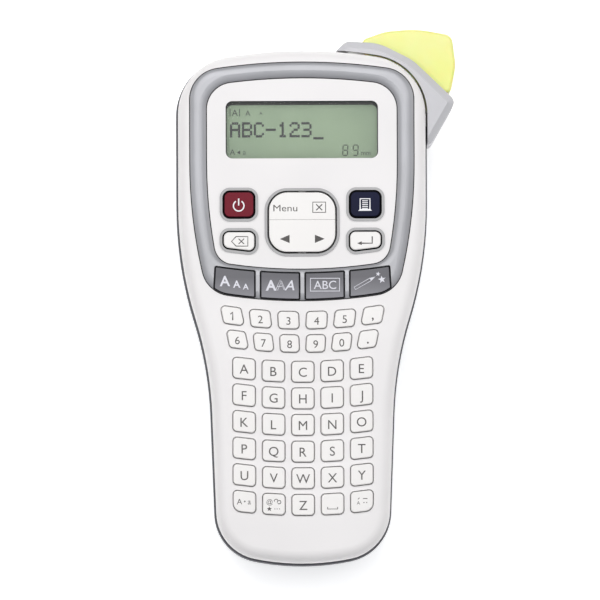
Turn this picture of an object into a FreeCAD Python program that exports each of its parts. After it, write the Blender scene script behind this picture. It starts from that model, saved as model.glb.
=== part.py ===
import FreeCAD, Part
import Sketcher
import math
import os
import re
from types import SimpleNamespace
from FreeCAD import Placement, Rotation, Vector

# Handheld label maker, lying on its back. +Z is the face normal, +Y runs to the
# display end, +X to the cutter side. The origin is on the flat back, on the
# centreline, halfway along the casing. All sizes are in millimetres.

doc = FreeCAD.newDocument("LabelMaker")
sheet = doc.addObject("Spreadsheet::Sheet", "Sizes")

drivingSizes = [
    # casing outline, seen from the front
    ("headWidth", 100.4, "width of the display end"),
    ("topEnd", 102.8, "crown of the top edge above the origin"),
    ("bottomEnd", 103.2, "crown of the bottom edge below the origin"),
    ("topRadius", 185.0, "bow of the top edge"),
    ("headCorner", 24.0, "corner radius of the display end"),
    ("flareEnd", 5.0, "where the neck turns from convex to concave, below the origin"),
    ("flareOuter", 155.0, "convex radius of the neck"),
    ("flareInner", 145.0, "concave radius of the neck"),
    ("flareAngle", 17.2, "steepest angle of the neck, degrees"),
    ("gripTaper", 2.1, "taper of the grip side, degrees"),
    ("heelCorner", 20.0, "corner radius of the heel"),
    ("heelRadius", 97.0, "bow of the bottom edge"),
    # casing in depth
    ("faceHeight", 56.0, "face above the rest plane"),
    ("splitHeight", 31.0, "parting line of the two shells"),
    ("wall", 2.2, "side and back wall"),
    ("faceWall", 2.5, "wall of the face"),
    ("frontInset", 0.8, "front shell inside the rear shell's edge"),
    ("faceRound", 4.5, "rounding of the face edge"),
    ("backRound", 5.0, "rounding of the back edge"),
    ("archHeight", 7.0, "finger arch under the grip"),
    ("archRun", 20.0, "length of each slope of the arch"),
    ("archTop", 4.0, "start of the arch below the origin"),
    ("archFloor", 44.0, "level length of the arch"),
    ("coverInset", 9.6, "edge of the back cover inside the outline"),
    ("coverGap", 0.3, "running gap round the back cover"),
    # face furniture
    ("bezelHalfOuter", 44.6, "half width of the bezel ring outside"),
    ("bezelHalfInner", 38.2, "half width of the bezel ring inside"),
    ("bezelTop", 97.2, "top edge of the bezel ring"),
    ("bezelBottom", 2.2, "bottom edge of the bezel ring"),
    ("bezelInnerTop", 91.2, "top of the bezel's inner edge"),
    ("bezelInnerBottom", 14.5, "bottom of the bezel's inner edge"),
    ("bezelBow", 235.0, "bow of the ring's top"),
    ("bezelCornerOuter", 12.5, "upper corner of the ring outside"),
    ("bezelCornerInner", 11.0, "upper corner of the ring inside"),
    ("bezelSideStart", 57.0, "where the ring's sides begin to draw in"),
    ("bezelSideBow", 195.0, "bow of the ring's sides"),
    ("bezelLowOuter", 12.0, "lower corner of the ring outside"),
    ("bezelLowInner", 8.0, "lower corner of the ring inside"),
    ("bezelLowBow", 200.0, "bow of the ring's bottom"),
    ("bezelHeight", 1.3, "bezel ring above the face"),
    ("bezelDepth", 1.0, "bezel ring let into the face"),
    ("bezelGap", 0.35, "open gap round the ring's edges"),
    ("bezelFoot", 0.3, "edge of the crowned bezel above the face"),
    ("crownReach", 2.9, "width of the crown's slope on each side"),
    ("windowWidth", 60.8, "display opening"),
    ("windowHeight", 22.9, "display opening"),
    ("windowMiddle", 70.4, "display opening above the origin"),
    ("windowCorner", 2.7, "display opening corner"),
    ("lensRim", 2.0, "lens hidden behind the face, each side"),
    ("lensThick", 1.4, "display lens"),
    ("surroundRim", 1.05, "visible width of each key surround"),
    ("surroundHeight", 0.4, "key surround above the face"),
    # keys
    ("keyGap", 0.35, "gap between key and its hole"),
    ("ringedGap", 0.6, "gap between a ringed key and its hole"),
    ("keyProud", 1.2, "key top above the face"),
    ("keyFlange", 0.7, "retaining flange beyond the key"),
    ("flangeThick", 1.2, "retaining flange"),
    ("flangeGap", 0.1, "flange below the face wall"),
    ("keyCorner", 1.5, "corner radius of the small keys"),
    ("keyRound", 0.5, "rounding of the key tops"),
    ("letterPitch", 11.7, "column pitch of the letter keys"),
    ("letterRowPitch", 10.62, "row pitch of the letter keys"),
    ("letterFirstRow", 26.35, "first letter row below the origin"),
    ("letterWidth", 8.8, "letter key"),
    ("letterDepth", 8.15, "letter key"),
    ("rowBow", 200.0, "radius of the bowed key rows"),
    ("digitPitchUpper", 11.2, "column pitch of the first digit row"),
    ("digitPitchLower", 10.4, "column pitch of the second digit row"),
    ("digitUpper", 5.8, "first digit row below the origin"),
    ("digitLower", 15.1, "second digit row below the origin"),
    ("digitWidth", 8.1, "key of the first digit row"),
    ("digitWidthLower", 7.4, "key of the second digit row"),
    ("digitDepth", 6.75, "digit key"),
    ("softWidth", 15.6, "function key in the bezel"),
    ("softLip", 0.3, "function keys inside the bezel's lower edge"),
    ("softTop", 13.2, "crown of the function keys' upper edge above the origin"),
    ("softBow", 230.0, "bow of the function keys' upper edge"),
    ("softGap", 2.2, "bezel rib between the function keys"),
    ("commandOffset", 25.2, "power and print keys from the centreline"),
    ("commandRow", 40.5, "power and print keys above the origin"),
    ("commandWidth", 12.0, "power and print keys"),
    ("commandDepth", 10.2, "power and print keys"),
    ("commandCorner", 2.4, "power and print keys"),
    ("editRow", 25.7, "erase and enter keys above the origin"),
    ("editWidth", 12.2, "erase and enter keys"),
    ("editDepth", 7.6, "erase and enter keys"),
    ("editCorner", 2.2, "erase and enter keys"),
    ("padRow", 33.4, "centre of the navigation pad"),
    ("padWidth", 26.6, "navigation pad"),
    ("padDepth", 23.9, "navigation pad"),
    ("padCorner", 7.4, "navigation pad"),
    ("padSplit", 0.1, "gap between the two rockers"),
    ("padCrease", 1.0, "gap of the rockers above the pad's centre"),
    ("rockerTab", 3.0, "retaining tab of each rocker"),
    # electronics
    ("boardThick", 1.6, "circuit board"),
    ("boardDrop", 5.9, "board top below the inside of the face"),
    ("boardInset", 4.8, "board edge inside the outline"),
    ("matThick", 1.2, "keypad mat"),
    ("domeRadius", 2.1, "keypad dome"),
    ("domeGap", 0.1, "dome below its key"),
    ("jackRow", 50.0, "power inlet above the origin"),
    ("jackHeight", 16.0, "power inlet above the rest plane"),
    ("jackBore", 3.2, "power inlet radius"),
    ("jackBody", 14.0, "power inlet length"),
    ("jackDepth", 7.0, "depth of the plug's bore"),
    # tape drive
    ("chassisHeight", 22.0, "underside of the chassis plate"),
    ("chassisThick", 2.0, "chassis plate"),
    ("chassisLow", 26.0, "lower edge of the chassis plate above the origin"),
    ("chassisBeyond", 10.0, "chassis plate above the line of the gear centres"),
    ("chassisGap", 1.0, "chassis plate clear of the side walls"),
    ("driveRow", 78.0, "line of the gear centres above the origin"),
    ("platenInset", 15.2, "platen axis inside the widest line"),
    ("platenRadius", 4.4, "rubber of the platen roller"),
    ("toothModule", 0.8, "gear module"),
    ("gearThick", 3.0, "gear face width"),
    ("gearSlack", 0.25, "extra centre distance of each mesh"),
    ("axleRadius", 1.0, "gear axles"),
    ("axleFit", 0.05, "running fit of the gears and the roller"),
    ("holderWidth", 11.6, "roller holder across"),
    ("holderDepth", 9.0, "roller holder along the casing"),
    ("holderPlate", 1.4, "plates of the roller holder"),
    ("takeupBack", 2.05, "take-up spindle left of the second idler"),
    ("motorRadius", 10.0, "drive motor"),
    ("motorGap", 3.0, "drive motor below the circuit board"),
    # tape cassette
    ("cassetteWidth", 46.0, "tape cassette"),
    ("cassetteLength", 56.0, "tape cassette"),
    ("cassetteThick", 17.6, "tape cassette"),
    ("cassetteWall", 1.4, "tape cassette"),
    ("tapeWidth", 12.0, "label tape"),
    ("tapeRollRadius", 16.5, "roll of label tape"),
    ("spoolRadius", 5.5, "ribbon spools"),
    ("hubRadius", 2.0, "cassette hubs"),
    # cutter
    ("pivotInset", 18.6, "lever pivot inside the widest line"),
    ("pivotDrop", 5.6, "lever pivot below the top end"),
    ("pinRadius", 1.5, "lever pivot pin"),
    ("leverBase", 5.0, "underside of the lever"),
    ("leverDrop", 13.0, "top of the lever below the face"),
    ("leverRib", 20.0, "rib over the blade, above the rest plane"),
    ("leverHub", 4.0, "radius of the lever's hub"),
    ("leverThumb", 13.9, "thumb edge of the lever above the pivot"),
    ("leverReach", 30.4, "furthest point of the lever from the pivot"),
    ("leverSkin", 2.4, "lever wall"),
    ("leverSwing", 22.0, "lever travel, degrees"),
    ("bladeReach", 24.6, "moving blade from the pivot"),
    ("bladeThick", 0.8, "cutter blades"),
    ("earGap", 0.5, "cover clear of the lever"),
    ("earDrop", 6.0, "top of the cutter cover below the face"),
    ("earBase", 2.0, "underside of the cutter cover"),
    ("earChamfer", 2.6, "bevel of the tape outlet side"),
    ("slotWidth", 1.2, "tape outlet slot"),
    ("springSlack", 3.8, "room above the cutter spring"),
    # batteries
    ("cellRadius", 5.25, "AAA cell"),
    ("cellLength", 44.5, "AAA cell"),
    ("cellSlack", 0.8, "room between the cells"),
    ("trayWall", 1.6, "battery tray"),
    ("leafReach", 4.6, "battery spring, from its contact to the cell"),
    ("leafWidth", 6.0, "battery spring"),
    ("leafThick", 0.4, "battery spring strip"),
    ("contactSide", 8.0, "battery contact plate"),
    ("contactThick", 0.5, "battery contact plate"),
    ("trayHead", 1.5, "upper end of the battery tray below the origin"),
    # fasteners
    ("postRadius", 4.0, "casing screw posts"),
    ("screwRadius", 1.25, "casing screw shank"),
    ("screwHead", 2.6, "casing screw head radius"),
    ("screwFit", 0.1, "hole beyond the screw"),
    ("studRadius", 2.8, "chassis posts"),
    ("studInset", 5.0, "chassis posts inside the widest line"),
    ("studLow", 32.0, "lower chassis posts above the origin"),
    ("studHighLeft", 70.0, "upper left chassis post above the origin"),
    ("studHighRight", 62.0, "upper right chassis post above the origin"),
    ("studHole", 0.9, "pilot hole in a chassis or board post"),
    ("topScrewOut", 39.3, "upper casing screw from the centreline"),
    ("topScrewInset", 13.0, "upper casing screw below the top end"),
    ("sideScrewInset", 8.6, "side casing screws inside the widest line"),
    ("sideScrewRow", 10.0, "side casing screws above the origin"),
    ("heelScrewOut", 24.4, "lower casing screws from the centreline"),
    ("heelScrewInset", 10.7, "lower casing screws above the bottom end"),
    ("screwHoleDepth", 13.0, "screw holes above the parting line"),
    ("boardPostRadius", 2.2, "posts that hold the circuit board"),
    ("boardPostInset", 9.2, "upper board posts inside the widest line"),
    ("boardPostRow", 50.0, "upper board posts above the origin"),
    ("smallHead", 1.7, "small screw head radius"),
    ("smallHeadHeight", 1.2, "small screw head"),
    ("smallShank", 0.8, "small screw shank radius"),
]

for row, (alias, value, note) in enumerate(drivingSizes, start=1):
    sheet.set(f"A{row}", note)
    sheet.set(f"B{row}", str(value))
    sheet.setAlias(f"B{row}", alias)
doc.recompute()

derived = doc.addObject("App::FeaturePython", "Derived")
derivedNames = []


def withPrefixes(formula):
    """Turns the plain names of a formula into references to the sheet."""
    sheetNames = {alias for alias, value, note in drivingSizes}

    def prefixed(match):
        word = match.group()
        if word in sheetNames:
            return "Sizes." + word
        if word in derivedNames:
            return "Derived." + word
        return word

    return re.sub(r"[A-Za-z]\w*", prefixed, formula)


def bind(thing, prop, formula):
    thing.setExpression(prop, withPrefixes(formula))


def derive(name, formula):
    """A size that follows from others, kept as a formula."""
    derived.addProperty("App::PropertyFloat", name)
    bind(derived, name, formula)
    derivedNames.append(name)


derive("ceiling", "faceHeight - faceWall")
derive("flangeTop", "ceiling - flangeGap")
derive("flangeBase", "flangeTop - flangeThick")
derive("keyTop", "faceHeight + keyProud")
derive("boardTop", "ceiling - boardDrop")
derive("boardBase", "boardTop - boardThick")
derive("matTop", "boardTop + matThick")
derive("domeTop", "flangeBase - domeGap")
derive("lensBase", "ceiling - lensThick")
derive("bezelBase", "faceHeight - bezelDepth")
derive("chassisTop", "chassisHeight + chassisThick")
derive("gearBase", "chassisTop + 0.6")
derive("gearTop", "gearBase + gearThick")
derive("platenAxis", "headWidth / 2 - platenInset")
derive("idlerTwoAxis", "platenAxis - (16 + 24) * toothModule / 2 - gearSlack")
derive("idlerOneAxis", "idlerTwoAxis - (24 + 30) * toothModule / 2 - gearSlack")
derive("pinionAxis", "idlerOneAxis - (30 + 10) * toothModule / 2 - gearSlack")
derive("cassetteBase", "wall + 0.6")
derive("cassetteTop", "cassetteBase + cassetteThick")
derive("cassetteRight", "platenAxis - platenRadius - 4.6")
derive("cassetteLeft", "cassetteRight - cassetteWidth")
derive("cassetteTopEdge", "driveRow + 10")
derive("cassetteLowEdge", "cassetteTopEdge - cassetteLength")
derive("pivotOut", "headWidth / 2 - pivotInset")
derive("pivotUp", "topEnd - pivotDrop")
derive("leverTop", "faceHeight - leverDrop")
derive("earTop", "faceHeight - earDrop")
derive("trayFloor", "archHeight + wall + coverGap + 2 * cellRadius + 0.6")
derive("cellAxis", "archHeight + wall + coverGap + cellRadius + 0.2")
derive("cellPitch", "2 * cellRadius + cellSlack")
derive("trayHalf", "1.5 * cellPitch + 0.6")
derive("trayLength", "2 * cellLength + 6")
derive("takeupAxis", "idlerTwoAxis - takeupBack")
derive("takeupRow", "driveRow - sqrt(((24 + 12) * toothModule / 2 + gearSlack)^2 - takeupBack^2)")
derive("rollX", "cassetteLeft + cassetteWall + tapeRollRadius + 0.7")
derive("rollY", "cassetteLowEdge + cassetteWall + tapeRollRadius + 0.7")
derive("supplyX", "cassetteLeft + cassetteWall + spoolRadius + 2")
derive("supplyY", "cassetteTopEdge - cassetteWall - spoolRadius - 2")
derive("tapeBase", "cassetteBase + (cassetteThick - tapeWidth) / 2")
derive("motorBase", "gearTop + 1.4")
derive("motorLength", "boardBase - motorGap - motorBase")
derive("seatHeight", "archHeight + 9")
derive("ribTop", "leverRib + leverSkin")
derive("leverCeiling", "leverTop - leverSkin")
doc.recompute()

size = SimpleNamespace(**{alias: float(sheet.get(alias)) for alias, value, note in drivingSizes})
for name in derivedNames:
    setattr(size, name, getattr(derived, name))

pieces = []


def keep(thing, label):
    thing.Label = label
    pieces.append(thing)
    return thing


# ---------------------------------------------------------------- primitives


def placeAt(thing, x, y, z):
    bind(thing, "Placement.Base.x", x)
    bind(thing, "Placement.Base.y", y)
    bind(thing, "Placement.Base.z", z)


def block(middleX, middleY, base, length, width, height):
    """A box centred on (middleX, middleY) and standing on base."""
    box = doc.addObject("Part::Box", "Block")
    bind(box, "Length", length)
    bind(box, "Width", width)
    bind(box, "Height", height)
    placeAt(box, f"({middleX}) - ({length}) / 2", f"({middleY}) - ({width}) / 2", base)
    return box


def rod(x, y, base, radius, height):
    """An upright cylinder."""
    cylinder = doc.addObject("Part::Cylinder", "Rod")
    bind(cylinder, "Radius", radius)
    bind(cylinder, "Height", height)
    placeAt(cylinder, x, y, base)
    return cylinder


def lyingRod(x, y, z, radius, height, direction):
    """A cylinder that starts at (x, y, z) and runs along direction."""
    cylinder = rod(x, y, z, radius, height)
    cylinder.Placement = Placement(Vector(0, 0, 0), Rotation(Vector(0, 0, 1), direction))
    return cylinder


def join(parts):
    union = doc.addObject("Part::MultiFuse", "Union")
    union.Shapes = parts
    return union


def gather(parts):
    """Several separate solids kept in one node."""
    group = doc.addObject("Part::Compound", "Group")
    group.Links = parts
    return group


def cut(base, tools):
    difference = doc.addObject("Part::Cut", "Difference")
    difference.Base = base
    difference.Tool = tools[0] if len(tools) == 1 else join(tools)
    return difference


def common(base, tool):
    overlap = doc.addObject("Part::Common", "Overlap")
    overlap.Base = base
    overlap.Tool = tool
    return overlap


def solid(shape, name="Solid"):
    """A free-form solid, shaped from the sheet's sizes."""
    feature = doc.addObject("Part::Feature", name)
    feature.Shape = shape
    return feature


# ---------------------------------------------------------- sketched features


def newBody(name):
    return doc.addObject("PartDesign::Body", name)


def originPlane(body, role):
    return next(item for item in body.Origin.OriginFeatures if item.Role == role)


def newSketch(body, base="0", role="XY_Plane"):
    sketch = body.newObject("Sketcher::SketchObject", "Sketch")
    sketch.AttachmentSupport = [(originPlane(body, role), "")]
    sketch.MapMode = "FlatFace"
    bind(sketch, "AttachmentOffset.Base.z", base)
    return sketch


def addRectangle(sketch, middleX, middleY, width, height):
    """Four lines held by constraints that read the sheet."""
    first = sketch.GeometryCount
    corners = [(-1, -1), (1, -1), (1, 1), (-1, 1)]
    for index, (x, y) in enumerate(corners):
        nextX, nextY = corners[(index + 1) % 4]
        sketch.addGeometry(Part.LineSegment(Vector(x, y, 0), Vector(nextX, nextY, 0)))
    for index in range(4):
        following = first + (index + 1) % 4
        sketch.addConstraint(Sketcher.Constraint("Coincident", first + index, 2, following, 1))
    for index, kind in enumerate(["Horizontal", "Vertical", "Horizontal", "Vertical"]):
        sketch.addConstraint(Sketcher.Constraint(kind, first + index))
    held = [
        (Sketcher.Constraint("DistanceX", first, 1, first, 2, 2.0), width),
        (Sketcher.Constraint("DistanceY", first + 1, 1, first + 1, 2, 2.0), height),
        (Sketcher.Constraint("DistanceX", -1, 1, first, 2, 1.0), f"{middleX} + ({width}) / 2"),
        (Sketcher.Constraint("DistanceY", -1, 1, first + 1, 2, 1.0), f"{middleY} + ({height}) / 2"),
    ]
    for constraint, formula in held:
        index = sketch.addConstraint(constraint)
        bind(sketch, f"Constraints[{index}]", formula)


def addCircle(sketch, x, y, radius):
    """A circle held by constraints that read the sheet."""
    circle = sketch.addGeometry(Part.Circle(Vector(1, 1, 0), Vector(0, 0, 1), 1.0))
    held = [
        (Sketcher.Constraint("Radius", circle, 1.0), radius),
        (Sketcher.Constraint("DistanceX", -1, 1, circle, 3, 1.0), x),
        (Sketcher.Constraint("DistanceY", -1, 1, circle, 3, 1.0), y),
    ]
    for constraint, formula in held:
        index = sketch.addConstraint(constraint)
        bind(sketch, f"Constraints[{index}]", formula)


def pad(body, sketch, height):
    feature = body.newObject("PartDesign::Pad", "Pad")
    feature.Profile = sketch
    bind(feature, "Length", height)
    return feature


def pocket(body, sketch, depth, upward=True):
    feature = body.newObject("PartDesign::Pocket", "Pocket")
    feature.Profile = sketch
    bind(feature, "Length", depth)
    feature.Reversed = upward
    return feature


# ------------------------------------------------------------------ outlines


def polar(centre, radius, angle):
    return Vector(centre.x + radius * math.cos(angle), centre.y + radius * math.sin(angle), 0)


def arcEdge(centre, radius, start, end):
    middle = polar(centre, radius, (start + end) / 2)
    return Part.Arc(polar(centre, radius, start), middle, polar(centre, radius, end)).toShape()


def closedWire(edges):
    return Part.Wire(Part.__sortEdges__(edges))


def polygon(points):
    return Part.makePolygon([Vector(x, y, 0) for x, y in points + points[:1]])


def prism(wire, low, high):
    face = Part.Face(wire)
    face.translate(Vector(0, 0, low))
    return face.extrude(Vector(0, 0, high - low))


def bodyOutline(grow):
    """The casing seen from the front, moved outward by grow: tangent arcs and two straights."""
    half = size.headWidth / 2
    flare = math.radians(size.flareAngle)
    taper = math.radians(size.gripTaper)
    crown = Vector(0, size.topEnd - size.topRadius, 0)
    rise = math.sqrt((size.topRadius - size.headCorner) ** 2 - (half - size.headCorner) ** 2)
    corner = Vector(half - size.headCorner, crown.y + rise, 0)
    crownAngle = math.atan2(corner.y - crown.y, corner.x)
    turnUp = -size.flareEnd + size.flareOuter * math.sin(flare)
    shoulder = Vector(half - size.flareOuter, turnUp, 0)
    waist = shoulder + Vector(math.cos(flare), -math.sin(flare), 0) * (size.flareOuter + size.flareInner)
    gripTop = polar(waist, size.flareInner - grow, math.pi - taper)
    inward = polar(waist, size.flareInner + size.heelCorner, math.pi - taper)
    heel = Vector(0, size.heelRadius - size.bottomEnd, 0)
    along = Vector(-math.sin(taper), -math.cos(taper), 0)
    reach = (inward - heel).dot(along)
    off = (inward - heel).Length ** 2 - (size.heelRadius - size.heelCorner) ** 2
    heelCorner = inward + along * (math.sqrt(reach * reach - off) - reach)
    heelAngle = math.atan2(heelCorner.y - heel.y, heelCorner.x)
    gripEnd = polar(heelCorner, size.heelCorner + grow, -taper)
    half = [
        arcEdge(crown, size.topRadius + grow, math.pi / 2, crownAngle),
        arcEdge(corner, size.headCorner + grow, crownAngle, 0),
        Part.makeLine(polar(corner, size.headCorner + grow, 0), polar(shoulder, size.flareOuter + grow, 0)),
        arcEdge(shoulder, size.flareOuter + grow, 0, -flare),
        arcEdge(waist, size.flareInner - grow, math.pi - flare, math.pi - taper),
        Part.makeLine(gripTop, gripEnd),
        arcEdge(heelCorner, size.heelCorner + grow, -taper, heelAngle),
        arcEdge(heel, size.heelRadius + grow, heelAngle, -math.pi / 2),
    ]
    other = [edge.mirror(Vector(0, 0, 0), Vector(1, 0, 0)) for edge in half]
    return closedWire(half + other)


def archEdge(y, z, run, rise):
    """Two tangent arcs that climb by rise over run, level at both ends."""
    radius = (run * run + rise * rise) / (4 * abs(rise))
    turn = math.asin(abs(run) / 2 / radius)
    lift = radius * (1 - math.cos(turn / 2)) * (1 if rise > 0 else -1)
    step = radius * math.sin(turn / 2) * (1 if run > 0 else -1)
    start = Vector(0, y, z)
    middle = Vector(0, y + run / 2, z + rise / 2)
    end = Vector(0, y + run, z + rise)
    first = Part.Arc(start, start + Vector(0, step, lift), middle).toShape()
    second = Part.Arc(middle, end - Vector(0, step, lift), end).toShape()
    return [first, second]


def sideSlab(backInset, top):
    """The casing seen from the side: level back with an arch for the fingers."""
    margin = 40.0
    headStart = size.topEnd + margin
    tailEnd = -size.bottomEnd - margin
    rising = -size.archTop
    level = rising - size.archRun
    falling = level - size.archFloor
    landed = falling - size.archRun
    high = backInset + size.archHeight

    def line(fromY, fromZ, toY, toZ):
        return Part.makeLine(Vector(0, fromY, fromZ), Vector(0, toY, toZ))

    edges = [line(headStart, top, headStart, backInset), line(headStart, backInset, rising, backInset)]
    edges += archEdge(rising, backInset, -size.archRun, size.archHeight)
    edges += [line(level, high, falling, high)]
    edges += archEdge(falling, high, -size.archRun, -size.archHeight)
    edges += [line(landed, backInset, tailEnd, backInset), line(tailEnd, backInset, tailEnd, top)]
    edges += [line(tailEnd, top, headStart, top)]
    face = Part.Face(closedWire(edges))
    face.translate(Vector(-size.headWidth, 0, 0))
    return face.extrude(Vector(2 * size.headWidth, 0, 0))


def roundedEdges(shape, radius, height):
    """Fillets every edge that lies in the level plane at height."""
    chosen = []
    for edge in shape.Edges:
        box = edge.BoundBox
        if abs(box.ZMin - height) < 1e-4 and abs(box.ZMax - height) < 1e-4:
            chosen.append(edge)
    return shape.makeFillet(radius, chosen)


def frontForm():
    """The outside of the front shell."""
    form = prism(bodyOutline(-size.frontInset), size.splitHeight, size.faceHeight)
    return roundedEdges(form, size.faceRound, size.faceHeight)


def frontCavity():
    """The inside of the front shell, rounded to keep its wall."""
    form = prism(bodyOutline(-size.frontInset - size.wall), size.splitHeight, size.ceiling)
    return roundedEdges(form, size.faceRound - size.wall, size.ceiling)


def rearForm(inset):
    """The outside of the rear shell, or its inside when inset is the wall."""
    form = prism(bodyOutline(-inset), 0, size.splitHeight).common(sideSlab(inset, size.faceHeight))
    under = [edge for edge in form.Edges if edge.BoundBox.ZMax < size.splitHeight - 1]
    return form.makeFillet(size.backRound - inset, under)


def meetingPoint(first, firstRadius, second, secondRadius):
    """The lower right crossing of two circles."""
    apart = second - first
    distance = apart.Length
    along = (firstRadius**2 - secondRadius**2 + distance**2) / (2 * distance)
    aside = math.sqrt(firstRadius**2 - along**2)
    unit = apart / distance
    crossing = [first + unit * along + Vector(-unit.y, unit.x, 0) * aside * side for side in (1, -1)]
    return max(crossing, key=lambda point: point.x)


def shieldOutline(half, top, bottom, corner, lowCorner, grow=0.0):
    """The bezel's shape: bowed top, straight then drawn-in sides, bowed bottom."""
    crown = Vector(0, top - size.bezelBow, 0)
    rise = math.sqrt((size.bezelBow - corner) ** 2 - (half - corner) ** 2)
    upper = Vector(half - corner, crown.y + rise, 0)
    crownAngle = math.atan2(upper.y - crown.y, upper.x)
    side = Vector(half - size.bezelSideBow, size.bezelSideStart, 0)
    base = Vector(0, bottom + size.bezelLowBow, 0)
    lower = meetingPoint(side, size.bezelSideBow - lowCorner, base, size.bezelLowBow - lowCorner)
    sideAngle = math.atan2(lower.y - side.y, lower.x - side.x)
    lowAngle = math.atan2(lower.y - base.y, lower.x - base.x)
    right = [
        arcEdge(crown, size.bezelBow + grow, math.pi / 2, crownAngle),
        arcEdge(upper, corner + grow, crownAngle, 0),
        Part.makeLine(polar(upper, corner + grow, 0), polar(side, size.bezelSideBow + grow, 0)),
        arcEdge(side, size.bezelSideBow + grow, 0, sideAngle),
        arcEdge(lower, lowCorner + grow, sideAngle, lowAngle),
        arcEdge(base, size.bezelLowBow + grow, lowAngle, -math.pi / 2),
    ]
    left = [edge.mirror(Vector(0, 0, 0), Vector(1, 0, 0)) for edge in right]
    return closedWire(right + left)


def bezelOuter(grow=0.0):
    low = size.bezelLowOuter
    half = size.bezelHalfOuter
    return shieldOutline(half, size.bezelTop, size.bezelBottom, size.bezelCornerOuter, low, grow)


def bezelInner(grow=0.0):
    low = size.bezelLowInner
    half = size.bezelHalfInner
    return shieldOutline(half, size.bezelInnerTop, size.bezelInnerBottom, size.bezelCornerInner, low, grow)


def roundedPolygon(points, radius):
    """A closed outline of straight runs with one fillet radius, or one for each corner."""
    corners = [Vector(x, y, 0) for x, y in points]
    radii = radius if isinstance(radius, list) else [radius] * len(corners)
    starts = []
    ends = []
    edges = []
    for index, corner in enumerate(corners):
        back = (corners[index - 1] - corner).normalize()
        ahead = (corners[(index + 1) % len(corners)] - corner).normalize()
        half = back.getAngle(ahead) / 2
        reach = radii[index] / math.tan(half)
        starts.append(corner + back * reach)
        ends.append(corner + ahead * reach)
        centre = corner + (back + ahead).normalize() * (radii[index] / math.sin(half))
        nearest = centre + (corner - centre).normalize() * radii[index]
        edges.append(Part.Arc(starts[-1], nearest, ends[-1]).toShape())
    for index in range(len(corners)):
        edges.append(Part.makeLine(ends[index], starts[(index + 1) % len(corners)]))
    return closedWire(edges)


def roundedRectangle(x, y, width, depth, corner):
    half = width / 2
    reach = depth / 2
    points = [(x - half, y - reach), (x + half, y - reach), (x + half, y + reach), (x - half, y + reach)]
    return roundedPolygon(points, corner)


# ---------------------------------------------------------------------- keys


def grown(wire, distance):
    return wire.makeOffset2D(distance)


def capSolid(outline):
    return roundedEdges(prism(outline, size.flangeBase, size.keyTop), size.keyRound, size.keyTop)


def keySolid(outline, flange):
    """A key cap with rounded top edges and the flange that keeps it in the casing."""
    skirt = prism(grown(outline, flange), size.flangeBase, size.flangeTop)
    return capSolid(outline).fuse(skirt).removeSplitter()


def bowedKey(x, y, width, depth, lean=0.0, corners=None):
    """A key whose top and bottom follow the bowed row and whose sides lean with its column."""
    points = []
    for across, along in [(-1, -1), (1, -1), (1, 1), (-1, 1)]:
        cornerX = x + across * width / 2 + lean * along * depth / 2
        cornerY = y + along * depth / 2 + cornerX * cornerX / (2 * size.rowBow)
        points.append((cornerX, cornerY))
    return roundedPolygon(points, corners or size.keyCorner)


def digitRow(row, width, pitch):
    """Six keys whose columns fan out towards the display."""
    fan = (size.digitPitchUpper - size.digitPitchLower) / (size.digitLower - size.digitUpper)
    columns = [index - 2.5 for index in range(6)]
    return [bowedKey(step * pitch, -row, width, size.digitDepth, step * fan) for step in columns]


def letterRow(index):
    """Five keys; the outer keys of the last row have one large corner each."""
    row = -size.letterFirstRow - index * size.letterRowPitch
    small = size.keyCorner
    large = 2.2 * size.keyCorner
    keys = []
    for column in range(-2, 3):
        corners = [small] * 4
        if index == letterRows - 1 and column == -2:
            corners[0] = large
        if index == letterRows - 1 and column == 2:
            corners[1] = large
        x = column * size.letterPitch
        keys.append(bowedKey(x, row, size.letterWidth, size.letterDepth, 0.0, corners))
    return keys


def softKey(column, side):
    """One function key: the band of the bezel between two straight ribs."""
    near = size.softGap / 2 + column * (size.softWidth + size.softGap)
    far = near + size.softWidth
    slant = 1.2 * column
    top = size.bezelInnerBottom + size.softWidth
    strip = [(near, 0), (far + slant, 0), (far - slant / 2, top), (near, top)]
    strip = [(side * x, y) for x, y in strip]
    above = Part.makeCircle(size.softBow, Vector(0, size.softTop + size.softBow, 0))
    band = Part.Face(bezelOuter(-size.softLip)).cut(Part.Face(Part.Wire(above)))
    face = band.common(Part.Face(polygon(strip))).Faces[0]
    return face.OuterWire.makeOffset2D(-size.keyRound).makeOffset2D(size.keyRound)


letterRows = 6


def commandKey(side):
    """Power or print: a rounded rectangle beside the navigation pad."""
    x = side * size.commandOffset
    return roundedRectangle(x, size.commandRow, size.commandWidth, size.commandDepth, size.commandCorner)


def editKey(side):
    """Erase or enter: its lower outer corner is cut back along the bezel."""
    x = side * size.commandOffset
    half = size.editWidth / 2
    reach = size.editDepth / 2
    lift = size.editDepth / 5
    points = [
        (x - side * half, size.editRow - reach),
        (x + side * half, size.editRow - reach + lift),
        (x + side * half, size.editRow + reach),
        (x - side * half, size.editRow + reach),
    ]
    return roundedPolygon(points, size.editCorner)


padWire = roundedRectangle(0, size.padRow, size.padWidth, size.padDepth, size.padCorner)
ringedKeys = {
    "power_key": commandKey(-1),
    "print_key": commandKey(1),
    "backspace_key": editKey(-1),
    "enter_key": editKey(1),
}
softKeys = {
    "size_key": softKey(1, -1),
    "style_key": softKey(0, -1),
    "frame_key": softKey(0, 1),
    "symbol_key": softKey(1, 1),
}
singleKeys = {**ringedKeys, **softKeys}
rows = {
    "number_row_1": digitRow(size.digitUpper, size.digitWidth, size.digitPitchUpper),
    "number_row_2": digitRow(size.digitLower, size.digitWidthLower, size.digitPitchLower),
}
for index in range(letterRows):
    rows[f"letter_row_{index + 1}"] = letterRow(index)
rowWires = [wire for wires in rows.values() for wire in wires]

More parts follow.
